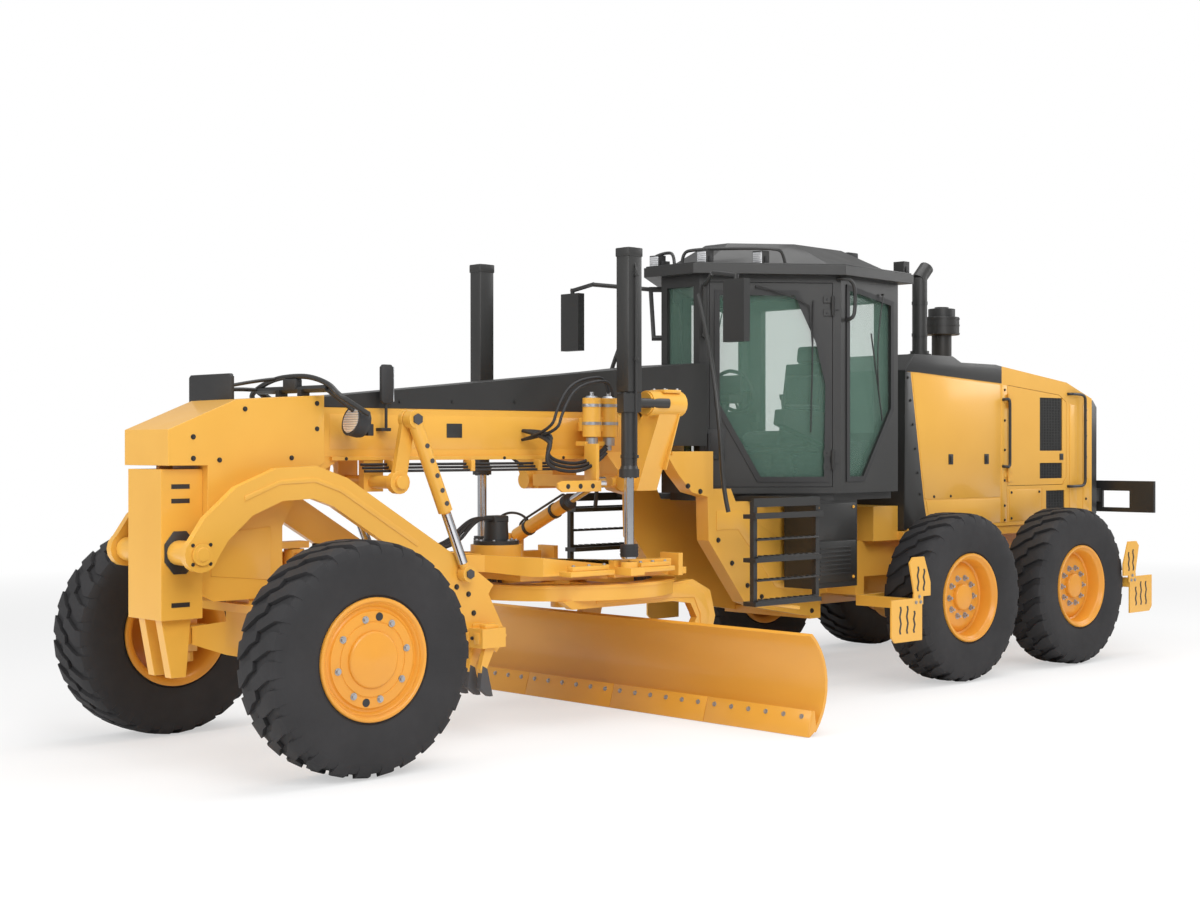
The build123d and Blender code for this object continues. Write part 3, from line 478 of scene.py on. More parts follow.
for axle, x in WHEEL_X.items():
    for hand, facing in HANDS.items():
        centre = (x, facing * WHEEL_Y, HUB_Z)
        body = f"wheel_{axle}_{hand}"
        bm = bmesh.new()
        spun(bm, FRONT_RIM if axle == "front" else DEEP_RIM, centre, facing, 64)
        piece(bm, f"rim_face_{axle}_{hand}", body, deep_yellow, sharp=50,
              replaces=[f"rim_{axle}_{hand}"])
        count, ring, level, first, size, stud = NUTS[axle]
        bm = bmesh.new()
        for i in range(count):
            spot = on_wheel(x, facing, ring, math.radians(first) + i * math.tau / count, level)
            bolt(bm, spot, (0, facing, 0), size)
            if stud:
                bar(bm, spot, spot + Vector((0, facing * stud, 0)), 10, 10)
        piece(bm, f"wheel_nuts_{axle}_{hand}", body, zinc)
        if axle == "front":
            # two dark discs painted as the shade in the rim's hand holes, which are not cut
            bm = bmesh.new()
            for angle in (79.5, 259.5):
                spot = on_wheel(x, facing, HOLE_RING, math.radians(angle), 145)
                bar(bm, spot, spot + Vector((0, facing * 6.5, 0)), 23, 24)
            piece(bm, f"hand_hole_shade_{hand}", body, moulded)

# %% [markdown]
# ## Tools for panels
# Sheet parts are outlines seen from the side, pushed out of the machine's flank. One function
# makes such a slab on either hand, and others set rows of bolts, grab rails and mesh.

# %% Slabs, bolt rows and mesh


def slab(bm, outline, facing, inner, outer, edge=2.0):
    """An outline of X and Z on the machine's flank, from one distance outward to another."""
    plate(bm, [(x, facing * inner, z) for x, z in outline], (0, facing * (outer - inner), 0), edge)


def rect(x0, x1, z0, z1):
    return [(x0, z0), (x1, z0), (x1, z1), (x0, z1)]


def mesh_panel(bm, x0, x1, z0, z1, facing, y, pitch=24.0, wire=3.0):
    """A grid of thin bars in front of a dark sheet, which is painted shade behind the mesh."""
    # this dark sheet is painted shade, standing for the dark space behind the mesh
    box(bm, (x0, facing * y, z0), (x1, facing * (y - 0.5), z1))
    for i in range(1, int((x1 - x0) / pitch)):
        x = x0 + i * pitch
        box(bm, (x - wire, facing * y, z0), (x + wire, facing * (y + 4), z1))
    for i in range(1, int((z1 - z0) / pitch)):
        z = z0 + i * pitch
        box(bm, (x0, facing * y, z - wire), (x1, facing * (y + 3), z + wire))


def around(count, radius, first=0.0):
    """Offsets along two axes to places on a circle, the first of them at an angle in degrees."""
    turns = [math.radians(first) + i * math.tau / count for i in range(count)]
    return [(radius * math.cos(turn), radius * math.sin(turn)) for turn in turns]


def bolt_row(bm, places, axis, size=9.0):
    for place in places:
        bolt(bm, place, axis, size)


# %% [markdown]
# ## Engine hood
# The flank of the hood is several pressed panels. A black band runs along its top edge, and a
# black strip slants down behind the cab. The door has mesh over two vents, and rows of bolts
# hold the rest. Each mesh lies over a dark sheet, which is painted shade of the space behind
# it. Two black grab rails stand off the panels.

# %% Hood panels
HOOD_Y = 600  # the hood's flank
MESH_Y = 592.5  # the floor of its mesh recesses
PANELS = [  # outlines in X and Z
    [(680, 2376), (-505, 2314), (-505, 1376), (515, 1376)],
    [(-520, 2314), (-600, 2310), (-600, 1160), (-520, 1160)],
    [(500, 1362), (-505, 1362), (-505, 1160), (440, 1160)],
    [(-1546, 2168), (-1660, 2163), (-1660, 1208), (-1546, 1208)],
    [(-1760, 2180), (-1860, 2130), (-1860, 1170), (-1760, 1170)],
    [(-640, 1432), (-1100, 1432), (-1100, 1165), (-640, 1165)],
]
BAND = [(772, 2388), (772, 2399), (645, 2528), (150, 2528), (40, 2482), (-440, 2481), (-523, 2470),
        (-523, 2326), (600, 2384)]
BOLT_COLUMNS = [  # place along the machine, and heights
    (-567, (2273, 2016, 1768, 1512, 1300, 1178)),
    (-1806, (2120, 2030, 1894, 1703, 1513, 1331)),
    (-665, (1190, 1408)), (-1075, (1190, 1408)), (400, (1395,)), (180, (1395,)),
]
STRIP = [(770, 2384), (700, 2384), (530, 1366), (480, 1150), (772, 1150)]
for hand, facing in HANDS.items():
    bm = bmesh.new()
    for outline in PANELS:
        slab(bm, outline, facing, HOOD_Y - 1, HOOD_Y + 3.5, 3)
    piece(bm, f"hood_panels_{hand}", "rear_frame", yellow)
    bm = bmesh.new()
    slab(bm, BAND, facing, 585, 605, 3)
    slab(bm, STRIP, facing, 598, 604, 2)
    # this mesh lies over a dark sheet of painted shade
    mesh_panel(bm, -1468, -1185, 1140, 1415, facing, MESH_Y)
    piece(bm, f"hood_bands_{hand}", "rear_frame", black)
    bm = bmesh.new()
    # each door mesh lies over a dark sheet of painted shade
    for x0, x1, z0, z1 in ((-1435, -1090, 1760, 2220), (-1435, -1090, 1520, 1655)):
        mesh_panel(bm, x0, x1, z0, z1, facing, MESH_Y)
    slab(bm, rect(-1446, -1392, 1680, 1735), facing, 599, 606)
    piece(bm, f"door_mesh_{hand}", f"hood_door_{hand}", black)
    bm = bmesh.new()
    bolt_row(bm, [(x, facing * (HOOD_Y + 3), z) for x, heights in BOLT_COLUMNS for z in heights],
             (0, facing, 0))
    bolt_row(bm, [(735 - 0.168 * (2340 - z), facing * (HOOD_Y + 4), z)
                  for z in (2340, 2160, 1970, 1780, 1590, 1420)], (0, facing, 0))
    piece(bm, f"hood_bolts_{hand}", "rear_frame", black)
    bm = bmesh.new()
    for x, z in ((-308, 1693), (180, 1693)):
        slab(bm, rect(x - 30, x + 30, z - 42, z + 42), facing, 603, 609, 4)
        slab(bm, rect(x - 14, x + 14, z - 26, z + 26), facing, 609, 617, 4)
    piece(bm, f"hood_latches_{hand}", "rear_frame", moulded)
    wall, y = facing * HOOD_Y, facing * (HOOD_Y + 40)
    hoses(f"hood_rails_{hand}", "rear_frame",
          [(13, [(-540, wall, 2190), (-540, y, 2195), (-590, y, 2195), (-592, y, 2100),
                 (-592, y, 1700), (-592, y, 1626), (-540, y, 1626), (-540, wall, 1632)]),
           (13, [(-1520, wall, 2259), (-1520, y, 2259), (-1600, y, 2259), (-1738, y, 2255),
                 (-1740, y, 2150), (-1740, y, 1560), (-1740, y, 1450), (-1600, y, 1446),
                 (-1520, y, 1446), (-1520, wall, 1446)])],
          black)

# %% Hood top, exhaust and rear
bm = bmesh.new()
for x0, x1 in ((-420, -60), (-1380, -1040), (-980, -640)):
    slope = 0 if x0 > -440 else (-440 - (x0 + x1) / 2) * 0.1132
    for i in range(9):
        y = -400 + i * 100
        z = 2480 - slope
        box(bm, (x0, y - 30, z - 30), (x1, y + 30, z + 5), 3)
bar(bm, (200, 300, 2526), (200, 300, 2556), 96, 32)
bar(bm, (200, 300, 2556), (200, 300, 2580), 78, 32)
for z in (2700, 2960):
    bar(bm, (200, 300, z), (200, 300, z + 26), 66, 32)
for z in (2745, 2815, 2870):
    bar(bm, (-290, 150, z), (-290, 150, z + 12), 153, 40)
bar(bm, (-290, 150, 2958), (-290, 150, 2975), 60, 24)
piece(bm, "hood_top_vents", "rear_frame", black)
bm = bmesh.new()
for facing in SIDES:
    for z in (1560, 1660):
        box(bm, (-1991, facing * 540, z - 38), (-1984, facing * 590, z + 38), 4)
piece(bm, "rear_lamps", "rear_frame", lens)

# %% [markdown]
# ## Cab
# The doors have a black rubber seal round the glass, a long handle, hinges and a wiper. The
# roof carries lamps in a tube frame and two antenna stubs. Grab rails run up behind the doors.

# %% Door seals, handles and wipers
DOOR_TURN = math.atan2(200 - 870, 2640 - 1850)
PANE = [(110, 1560), (100, 2250), (170, 2560), (330, 2910), (905, 2910), (905, 2100), (735, 1800),
        (600, 1560)]


def door_place(s, out, z, facing):
    """A place on a door: along it from its rear post, out from its face, and up."""
    x = 1850 + s * math.cos(DOOR_TURN) - out * math.sin(DOOR_TURN)
    y = 870 + s * math.sin(DOOR_TURN) + out * math.cos(DOOR_TURN)
    return Vector((x, facing * y, z))


def frame_run(points, inward):
    """The same outline moved inward by a distance, corner by corner."""
    middle = sum((Vector(p) for p in points), Vector((0, 0))) / len(points)
    moved = []
    for i, point in enumerate(points):
        before, after = Vector(points[i - 1]), Vector(points[(i + 1) % len(points)])
        here = Vector(point)
        a, b = (here - before).normalized(), (after - here).normalized()
        side = (Vector((-a.y, a.x)) + Vector((-b.y, b.x))).normalized()
        if side.dot(middle - here) < 0:
            side = -side
        moved.append(here + side * inward / max(0.5, math.cos(a.angle(b) / 2)))
    return moved


def seal(bm, points, lift, thick, facing, place):
    """A flat ring that follows a window's edge."""
    outer, inner = frame_run(points, -22), frame_run(points, 16)
    rings = []
    for ring, out in ((outer, lift), (inner, lift), (inner, lift + thick), (outer, lift + thick)):
        rings.append([bm.verts.new(at(*place(s, out, z, facing))) for s, z in ring])
    for one, two in zip(rings, rings[1:] + rings[:1]):
        for i in range(len(points)):
            j = (i + 1) % len(points)
            bm.faces.new((one[i], one[j], two[j], two[i]))


def flank_place(x, out, z, facing):
    """A place on the cab's side behind the door."""
    return Vector((x, facing * (870 - (1850 - x) * 80 / 760 + out), z))


WIPER = [  # radius, and points along the door, out from it and up
    (9, [(621, 4, 2960), (621, 38, 2960)]),
    (5, [(621, 30, 2960), (380, 32, 2900), (235, 30, 2820)]),
    (6, [(205, 22, 2860), (215, 22, 2400), (225, 22, 1900)]),
    (4, [(235, 30, 2820), (213, 24, 2500)]),
]
REAR_PANE = [(1760, 1560), (1760, 2960), (1180, 2880), (1180, 2080), (1560, 1560)]
for hand, facing in HANDS.items():
    door = f"cab_door_{hand}"
    out = door_place(0, 1, 0, facing) - door_place(0, 0, 0, facing)
    bm = bmesh.new()
    seal(bm, PANE, 0.5, 9, facing, door_place)
    for z in (1700, 2820):
        for dz in (-50, 50):
            bolt(bm, door_place(105, 12, z + dz, facing), out, 7)
    slot = [door_place(s, 1, z, facing)
            for s, z in ((850, 1700), (1000, 1700), (1000, 1925), (850, 1925))]
    plate(bm, slot, out * 9, 3)
    for s in (880, 970):
        bar(bm, door_place(s, 12, 1735, facing), door_place(s, 12, 1890, facing), 11, 12)
    bar(bm, door_place(925, 4, 1720, facing), door_place(925, 26, 1720, facing), 15, 16)
    piece(bm, f"door_seal_{hand}", door, moulded)
    runs = [(radius, [door_place(s, away, z, facing) for s, away, z in points])
            for radius, points in WIPER]
    hoses(f"door_wiper_{hand}", door, runs, moulded)
    bm = bmesh.new()
    seal(bm, REAR_PANE, 0.5, 8, facing, flank_place)
    piece(bm, f"side_seal_{hand}", "front_frame", moulded)
    hoses(f"cab_rails_{hand}", "front_frame",
          [(14, [(1880, facing * 868, 3020), (1880, facing * 925, 3020), (1810, facing * 930, 3015),
                 (1760, facing * 930, 2960), (1760, facing * 930, 2800), (1780, facing * 925, 2730),
                 (1780, facing * 865, 2725)]),
           (16, [(2780, facing * 330, 2880), (2790, facing * 400, 2700), (2850, facing * 560, 2300),
                 (2870, facing * 640, 1900), (2862, facing * 660, 1500),
                 (2850, facing * 700, 1340)]),
           (7, [flank_place(1330, 10, 2940, facing), flank_place(1330, 34, 2940, facing)]),
           (5, [flank_place(1330, 30, 2940, facing), flank_place(1440, 32, 2600, facing),
                flank_place(1395, 28, 2250, facing)]),
           (6, [flank_place(1480, 18, 2640, facing), flank_place(1330, 18, 1990, facing)])], black)

# %% Roof lamps, tube frame and antennas
bm = bmesh.new()
for facing in SIDES:
    for x, y, way in ((2630, 250, 1), (2330, 520, 1), (1060, 800, -1)):
        box(bm, (x + way * 34, facing * y - 44, 3118), (x + way * 40, facing * y + 44, 3202), 2)
piece(bm, "roof_lamp_glass", "front_frame", lens)
bm = bmesh.new()
for facing in SIDES:
    for x, y in ((2630, 250), (2330, 520), (1060, 800)):
        box(bm, (x - 18, facing * y - 58, 3108), (x + 18, facing * y + 58, 3116), 2)
        for side in (-1, 1):
            middle = facing * y + side * 54
            box(bm, (x - 14, middle - side * 3, 3108), (x + 14, middle + side * 3, 3170), 2)
    bar(bm, (2140, facing * 150, 3240), (2140, facing * 150, 3262), 22, 16)
bar(bm, (1500, 300, 3300), (1500, 300, 3306), 24, 16)
box(bm, (1240, 250, 3240), (1120, 420, 3300), 8)
piece(bm, "roof_brackets", "front_frame", moulded)
hoses("roof_tubes", "front_frame",
      [(12, [(2660, facing * 40, 3110), (2660, facing * 40, 3210), (2640, facing * 150, 3225),
             (2520, facing * 400, 3225), (2300, facing * 640, 3225), (2230, facing * 650, 3200),
             (2210, facing * 650, 3110)]) for facing in SIDES] +
      [(3.5, [(2200, 120, 3250), (2205, 124, 3303)]),
       (3.5, [(1500, 300, 3290), (1500, 300, 3305)])], black)
bm = bmesh.new()
EDGE = [(2745, 255), (1898, 945), (1020, 868), (1020, -868), (1898, -945), (2745, -255)]
plate(bm, [(x, y, 3108) for x, y in EDGE], (0, 0, 14), 5)
piece(bm, "roof_gutter", "front_frame", black)

# %% [markdown]
# ## Inside the cab
# Through the glass one sees a seat with a head rest, a console on each side and the steering
# column. The seat's cushions are swollen by a short cloth simulation: a block is remeshed, blown
# up a little under pressure, and then smoothed.

# %% Seat cushions by cloth simulation


def cushion(name, low, high, tilt=0.0, grow=22.0):
    """A stuffed cushion between two corners, tilted back about its lower edge."""
    bm = bmesh.new()
    box(bm, low, high, 26)
    mesh = bpy.data.meshes.new(name)
    bm.to_mesh(mesh)
    bm.free()
    obj = thing(name, mesh)
    remesh = obj.modifiers.new("remesh", "REMESH")
    remesh.mode = "VOXEL"
    remesh.voxel_size = 0.014
    shape = bpy.context.evaluated_depsgraph_get()
    obj.data = bpy.data.meshes.new_from_object(obj.evaluated_get(shape))
    obj.modifiers.clear()
    rest = [v.co.copy() for v in obj.data.vertices]
    soft = obj.modifiers.new("soft", "CLOTH")
    soft.settings.use_pressure = True
    soft.settings.uniform_pressure_force = 4.0
    soft.settings.effector_weights.gravity = 0.0
    soft.settings.quality = 4
    scene = bpy.context.scene
    for number in range(1, 21):
        scene.frame_set(number)
    shape = bpy.context.evaluated_depsgraph_get()
    blown = bpy.data.meshes.new_from_object(obj.evaluated_get(shape))
    obj.modifiers.clear()
    obj.data = blown
    scene.frame_set(1)
    for vertex, start in zip(blown.vertices, rest):
        move = vertex.co - start
        if move.length > grow * MM:
            vertex.co = start + move.normalized() * grow * MM
    hinge = at((low[0] + high[0]) / 2, 0, low[2])
    obj.data.transform(Matrix.Translation(hinge) @ Matrix.Rotation(math.radians(tilt), 4, "Y") @
                       Matrix.Translation(-hinge))
    for polygon in obj.data.polygons:
        polygon.use_smooth = True
    obj.data.materials.clear()
    obj.data.materials.append(cloth)
    smooth = obj.modifiers.new("smooth", "SUBSURF")
    smooth.levels = smooth.render_levels = 1
    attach(obj, "front_frame")
    print(name, "has", len(obj.data.polygons), "faces")
    return obj


base = cushion("seat_cushion", (1370, -215, 1810), (1810, 215, 1895))
cushion("seat_back", (1300, -205, 1945), (1385, 205, 2390), tilt=-11)
cushion("seat_head_rest", (1215, -110, 2450), (1275, 110, 2590), tilt=-8, grow=12)
cushion("seat_arm_pads", (1540, 325, 2085), (1900, 405, 2105), grow=8)
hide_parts("operator_seat")

# %% Seat frame, consoles and column
bm = bmesh.new()
box(bm, (1400, -190, 1500), (1760, 190, 1560), 10)
bar(bm, (1560, 0, 1545), (1560, 0, 1740), 110, 28, 80)
for z in (1590, 1630, 1670, 1710):
    bar(bm, (1560, 0, z), (1560, 0, z + 14), 128, 28)
box(bm, (1360, -225, 1740), (1820, 225, 1790), 20)
plate(bm, [(1330, -195, 1800), (1390, -195, 1800), (1285, -195, 2450), (1235, -195, 2440)],
      (0, 390, 0), 8)
for y in (-50, 50):
    bar(bm, (1262, y, 2430), (1240, y, 2520), 7, 10)
for facing in SIDES:
    plate(bm, [(1500, facing * 310, 1800), (1980, facing * 310, 1960), (1960, facing * 310, 2075),
               (1500, facing * 310, 2060)], (0, facing * 110, 0), 10)
    box(bm, (1500, facing * 240, 1800), (1560, facing * 320, 1990), 8)
    for i, x in enumerate((1900, 1930, 1955)):
        y = facing * (335 + 30 * i)
        bar(bm, (x, y, 2065), (x + 10, y, 2150), 5, 10)
        bar(bm, (x + 10, y, 2145), (x + 13, y, 2185), 12, 14, 16)
bar(bm, (2380, 0, 1500), (2180, 0, 2130), 55, 24, 42)
box(bm, (2090, -120, 2120), (2250, 120, 2190), 18)
box(bm, (2140, -150, 2190), (2160, 150, 2330), 12)
for y in (-80, 40):
    plate(bm, [(2420, y, 1505), (2480, y, 1600), (2470, y, 1610), (2405, y, 1510)], (0, 70, 0), 3)
box(bm, (1170, -600, 1500), (1290, 600, 1840), 14)
piece(bm, "cab_controls", "front_frame", moulded)
wheel = [(2075 + 45 * math.cos(a), 190 * math.sin(a), 2215 + 150 * math.cos(a))
         for a in (i * math.tau / 24 for i in range(25))]
hoses("steering_wheel", "front_frame",
      [(14, wheel), (9, [(2075, -180, 2215), (2085, 0, 2200), (2075, 180, 2215)]),
       (9, [(2085, 0, 2200), (2032, 0, 2070)])], moulded)

# %% [markdown]
# ## Nose and beam
# A tube arch on the nose carries two lamps and a wide mirror, so that the operator sees the
# ground in front. Behind the push block, hose bundles in sleeves run down to the front axle.

# %% Lamps, mirror and arch on the nose
bm = bmesh.new()
for facing in SIDES:
    bar(bm, (5698, facing * 380, 1949.5), (5706, facing * 380, 1951.5), 76, 32)
piece(bm, "headlamp_glass", "front_frame", lens)
bm = bmesh.new()
for facing in SIDES:
    bar(bm, (5640, facing * 380, 1935), (5703, facing * 380, 1950.5), 90, 32, 92)
    box(bm, (5560, facing * 355, 1860), (5600, facing * 405, 1930), 4)
    bar(bm, (5580, facing * 150, 1880), (5580, facing * 380, 1880), 18, 14)
box(bm, (5835, -70, 2128), (5885, 70, 2200), 8)
WIDE_MIRROR = [(-600, 2050), (-580, 2034), (-130, 2034), (-110, 2050), (-110, 2212), (-130, 2228),
               (-580, 2228), (-600, 2212)]
TALL_MIRROR = [(5300, 2075), (5315, 2058), (5372, 2058), (5386, 2075), (5386, 2280), (5372, 2297),
               (5315, 2297), (5300, 2280)]
plate(bm, [(6204, y, z) for y, z in WIDE_MIRROR], (-26, 0, 0), 6)
plate(bm, [(x, 205, z) for x, z in TALL_MIRROR], (0, 30, 0), 6)
bar(bm, (5343, 215, 1900), (5343, 215, 2080), 9, 12)
box(bm, (5310, 150, 1890), (5376, 222, 1910), 3)
piece(bm, "nose_fittings", "front_frame", moulded)
bm = bmesh.new()
box(bm, (6175, -590, 2044), (6179, -120, 2218), 2)
box(bm, (5294, 212, 2070), (5299, 230, 2285), 1)
piece(bm, "nose_mirrors", "front_frame", mirror_face)
hoses("nose_arch", "front_frame",
      [(16, [(5660, 500, 1985), (5780, 500, 2050), (5860, 480, 2100), (5860, 400, 2160),
             (5860, 200, 2210), (5860, 0, 2216), (5860, -200, 2205), (5860, -400, 2150),
             (5860, -480, 2100), (5780, -500, 2050), (5660, -500, 1985)]),
       (13, [(5860, -380, 2140), (6000, -380, 2150), (6180, -360, 2130)]),
       (11, [(5860, -180, 2205), (6000, -200, 2190), (6180, -220, 2150)])], black)

# %% Push block, bolts on the nose and the beam
NOSE_BOLTS = [(6320, 2010), (6640, 1850), (6640, 1730), (6480, 1720), (6020, 1730), (5850, 1900),
              (5850, 2050)]
FLANK_BOLTS = [(3000, 1520), (2880, 1480), (2700, 1130), (2560, 960), (2400, 790), (2250, 700),
               (1700, 560), (1700, 1030)]
# black plates painted as shade in the push block's recess and gaps, and at one spot on the beam
# side
bm = bmesh.new()
for facing in SIDES:
    ring = [(6690 + 100 * dx, facing * 190, 1205 + 130 * dz) for dx, dz in around(8, 1, 22.5)]
    plate(bm, ring, (0, facing * 8, 0), 3)
    for z in (900, 1480, 1560):
        slab(bm, rect(6630, 6740, z, z + 26), facing, 189, 191.5, 0)
    slab(bm, rect(4726, 4845, 1852, 1942), facing, 152, 158, 2)
piece(bm, "push_block_recess_shade", "front_frame", black)
bm = bmesh.new()
for facing in SIDES:
    bolt_row(bm, [(6700 + dx, facing * 450, 1205 + dz) for dx, dz in around(4, 74, 45)],
             (0, facing, 0), 8)
    bolt_row(bm, [(x, facing * 250, z) for x, z in NOSE_BOLTS], (0, facing, 0), 11)
    bolt_row(bm, [(x, facing * 175, 1722) for x in (5600, 5000, 4400, 3900)], (0, facing, 0), 8)
    bolt_row(bm, [(x, facing * 155, 2060 + (5790 - x) * 0.02)
                  for x in (5600, 5200, 4800, 4300, 3900)], (0, facing, 0), 9)
    bolt_row(bm, [(x, facing * 450, z) for x, z in FLANK_BOLTS], (0, facing, 0), 14)
piece(bm, "nose_bolts", "front_frame", black)
bm = bmesh.new()
for facing in SIDES:
    bar(bm, (6700, facing * 455, 1205), (6700, facing * 466, 1205), 60, 32)
    bar(bm, (6700, facing * 466, 1205), (6700, facing * 472, 1205), 34, 28)
    slab(bm, [(5700, 1780), (5700, 1990), (3700, 1990), (3700, 1780)], facing, 151, 153.5, 2)
    slab(bm, [(6480, 1060), (6480, 1300), (6100, 1330), (6100, 1020)], facing, 149, 156, 4)
    slab(bm, [(2720, 1200), (2500, 1200), (2100, 760), (1800, 700), (1800, 980), (2480, 1340),
              (2720, 1340)], facing, 449, 455, 4)
piece(bm, "beam_plates", "front_frame", yellow)
loop = [(6680 + 42 * math.cos(a), 0, 1710 + 36 * math.sin(a))
        for a in (i * math.tau / 16 for i in range(17))]
hoses("lifting_ring", "front_frame", [(11, loop)], zinc)

# %% Hoses at the front axle
hoses("axle_hoses", "front_frame",
      [(10, [(6035, 60 + o, 1330), (6090, 20 + o, 1240), (6100, 60 + o, 1040), (6060, 180 + o, 900),
             (6050, 240 + o, 780)]) for o in (-60, -36, -12, 12)] +
      [(10, [(6035, -90 - o, 1380), (6110, -260 - o, 1310), (6120, -400 - o, 1160),
             (6100, -390 - o, 930), (6060, -300 - o, 780)]) for o in (0, 24, 48)] +
      [(9, [(5500 - 500 * i, 165 + o, 1700 - o) for i in range(4)]) for o in (14, 34, 54)])
bm = bmesh.new()
for y, z in ((60, 1060), (-400, 1100)):
    bar(bm, (6104, y - 6, z + 40), (6096, y + 6, z - 120), 44, 24)
piece(bm, "hose_sleeves", "front_frame", hose_rubber)
bm = bmesh.new()
for x in (5300, 4700, 4150):
    box(bm, (x - 16, 150, 1640), (x + 16, 240, 1712), 4)
for y in (40, -420):
    box(bm, (6060, y - 50, 1210), (6130, y + 60, 1240), 5)
piece(bm, "hose_clamps", "front_frame", yellow)

# %% [markdown]
# ## Blade gear
# The two lift cylinders stand in trunnions on the saddle, with a ring of bolts on each cap, a
# gland at the lower end and a pipe up the side. Two accumulators feed them, with hoses that
# loop from the beam. A locking bar with holes sits below the saddle; the holes are black discs,
# painted shade where the holes would show dark.

# %% Lift cylinders
LIFT_X, LIFT_Y, TRUNNION_Z = 3850, 775, 2080
for hand, facing in HANDS.items():
    bm = bmesh.new()
    y = facing * LIFT_Y
    bar(bm, (LIFT_X, y, 1596), (LIFT_X, y, 1650), 66, 32)
    bar(bm, (LIFT_X, y, 1650), (LIFT_X, y, 1672), 60, 32, 54)
    box(bm, (LIFT_X - 60, y - 60, 2150), (LIFT_X + 60, y + 60, 3040), 8)
    box(bm, (LIFT_X - 64, y - 64, 3030), (LIFT_X + 64, y + 64, 3088), 6)
    for z in (1720, 2350, 2900):
        bar(bm, (LIFT_X, y, z), (LIFT_X, y, z + 22), 57, 28)
        box(bm, (LIFT_X - 10, y + facing * 50, z), (LIFT_X + 16, y + facing * 84, z + 22), 3)
    bolt_row(bm, [(LIFT_X + dx, y + dy, 1597) for dx, dy in around(6, 46)], (0, 0, -1), 7)
    piece(bm, f"lift_glands_{hand}", f"lift_barrel_{hand}", black)
    hoses(f"lift_pipes_{hand}", f"lift_barrel_{hand}",
          [(8, [(LIFT_X + 3, y + facing * away, z) for away, z in
                ((48, 1680), (72, 1690), (72, 1800), (72, 2900), (76, 2960), (50, 2990))])], black)
    bm = bmesh.new()
    bar(bm, (LIFT_X, y, 1078), (LIFT_X, y, 1160), 58, 28)
    for z in (1090, 1112, 1134):
        bar(bm, (LIFT_X, y, z), (LIFT_X, y, z + 9), 61, 28)
    piece(bm, f"rod_boots_{hand}", f"lift_rod_{hand}", moulded)
    bm = bmesh.new()
    bar(bm, (3390, y, TRUNNION_Z), (3404, y, TRUNNION_Z), 70, 32)
    bar(bm, (3700, y, TRUNNION_Z), (3712, y, TRUNNION_Z), 74, 32)
    box(bm, (3445, y - 70, 2150), (3600, y + 70, 2172), 6)
    plate(bm, [(3450, facing * 640, 1640), (3450, facing * 700, 1640), (3450, facing * 850, 2060),
               (3450, facing * 790, 2060)], (-10, 0, 0), 3)
    piece(bm, f"trunnion_caps_{hand}", "front_frame", yellow)
    bm = bmesh.new()
    bolt_row(bm, [(3391, y + dy, TRUNNION_Z + dz) for dy, dz in around(6, 52)], (-1, 0, 0), 8)
    bolt_row(bm, [(x, y + dy, 2172) for x in (3465, 3580) for dy in (-50, 50)], (0, 0, 1), 9)
    bolt_row(bm, [(x, facing * 303, z) for x in (3460, 3600) for z in (1800, 1960)],
             (0, facing, 0), 11)
    piece(bm, f"trunnion_bolts_{hand}", "front_frame", zinc)

# %% Accumulators, hoses and the locking bar
bm = bmesh.new()
for x in (3690, 3840):
    for z in (1940, 2060):
        bar(bm, (x, 395, z), (x, 395, z + 20), 65, 36)
    bar(bm, (x, 395, 2118), (x, 395, 2134), 48, 28, 36)
    bar(bm, (x, 395, 2134), (x, 395, 2160), 15, 14)
    bar(bm, (x, 395, 1802), (x, 395, 1856), 40, 24)
    bar(bm, (x, 395, 1770), (x, 395, 1802), 20, 6)
piece(bm, "accumulator_fittings", "front_frame", zinc)
bm = bmesh.new()
slab(bm, [(4200, 1500), (4240, 1524), (4240, 1558), (4200, 1574), (3872, 1574), (3872, 1500)],
     LEFT, 505, 530, 4)
box(bm, (3872, 385, 1540), (3900, 510, 1815), 5)
piece(bm, "locking_bar", "front_frame", yellow)
# black discs painted as the shade in the locking bar's holes, which are not cut
bm = bmesh.new()
for x in (4160, 4054, 3948):
    bar(bm, (x, 528, 1537), (x, 531.5, 1537), 17, 20)
piece(bm, "locking_bar_hole_shade", "front_frame", black)
LOOP = [(4184, 1873), (4269, 1741), (4201, 1675), (3985, 1650), (3807, 1720), (3740, 1780)]
LOOP_BACK = [(3740, 2150), (3760, 2240), (3851, 2262), (4071, 2210), (4184, 2050), (4230, 1900)]
hoses("saddle_hoses", "front_frame",
      [(12, [(4240, 165, 1900)] + [(x + o, 430 + o, z - o) for x, z in LOOP])
       for o in (-26, 0, 26)] +
      [(10, [(x - o, 450 + o, z - o) for x, z in LOOP_BACK] + [(4250, 170, 1840)])
       for o in (0, 24)] +
      [(10, [(3700 + o, -170, 1990), (3800 + o, -420, 2060), (3900, -560, 1950), (3880, -560, 1780),
             (3760, -430, 1660)]) for o in (0, 28)])

# %% Side-shift cylinder and circle drive


def along_shift(distance, lift=0.0, x=3800.0):
    """A place along the side-shift cylinder, measured from its lower eye."""
    return (x, -500 + 0.915 * distance - 0.403 * lift, 1150 + 0.403 * distance + 0.915 * lift)


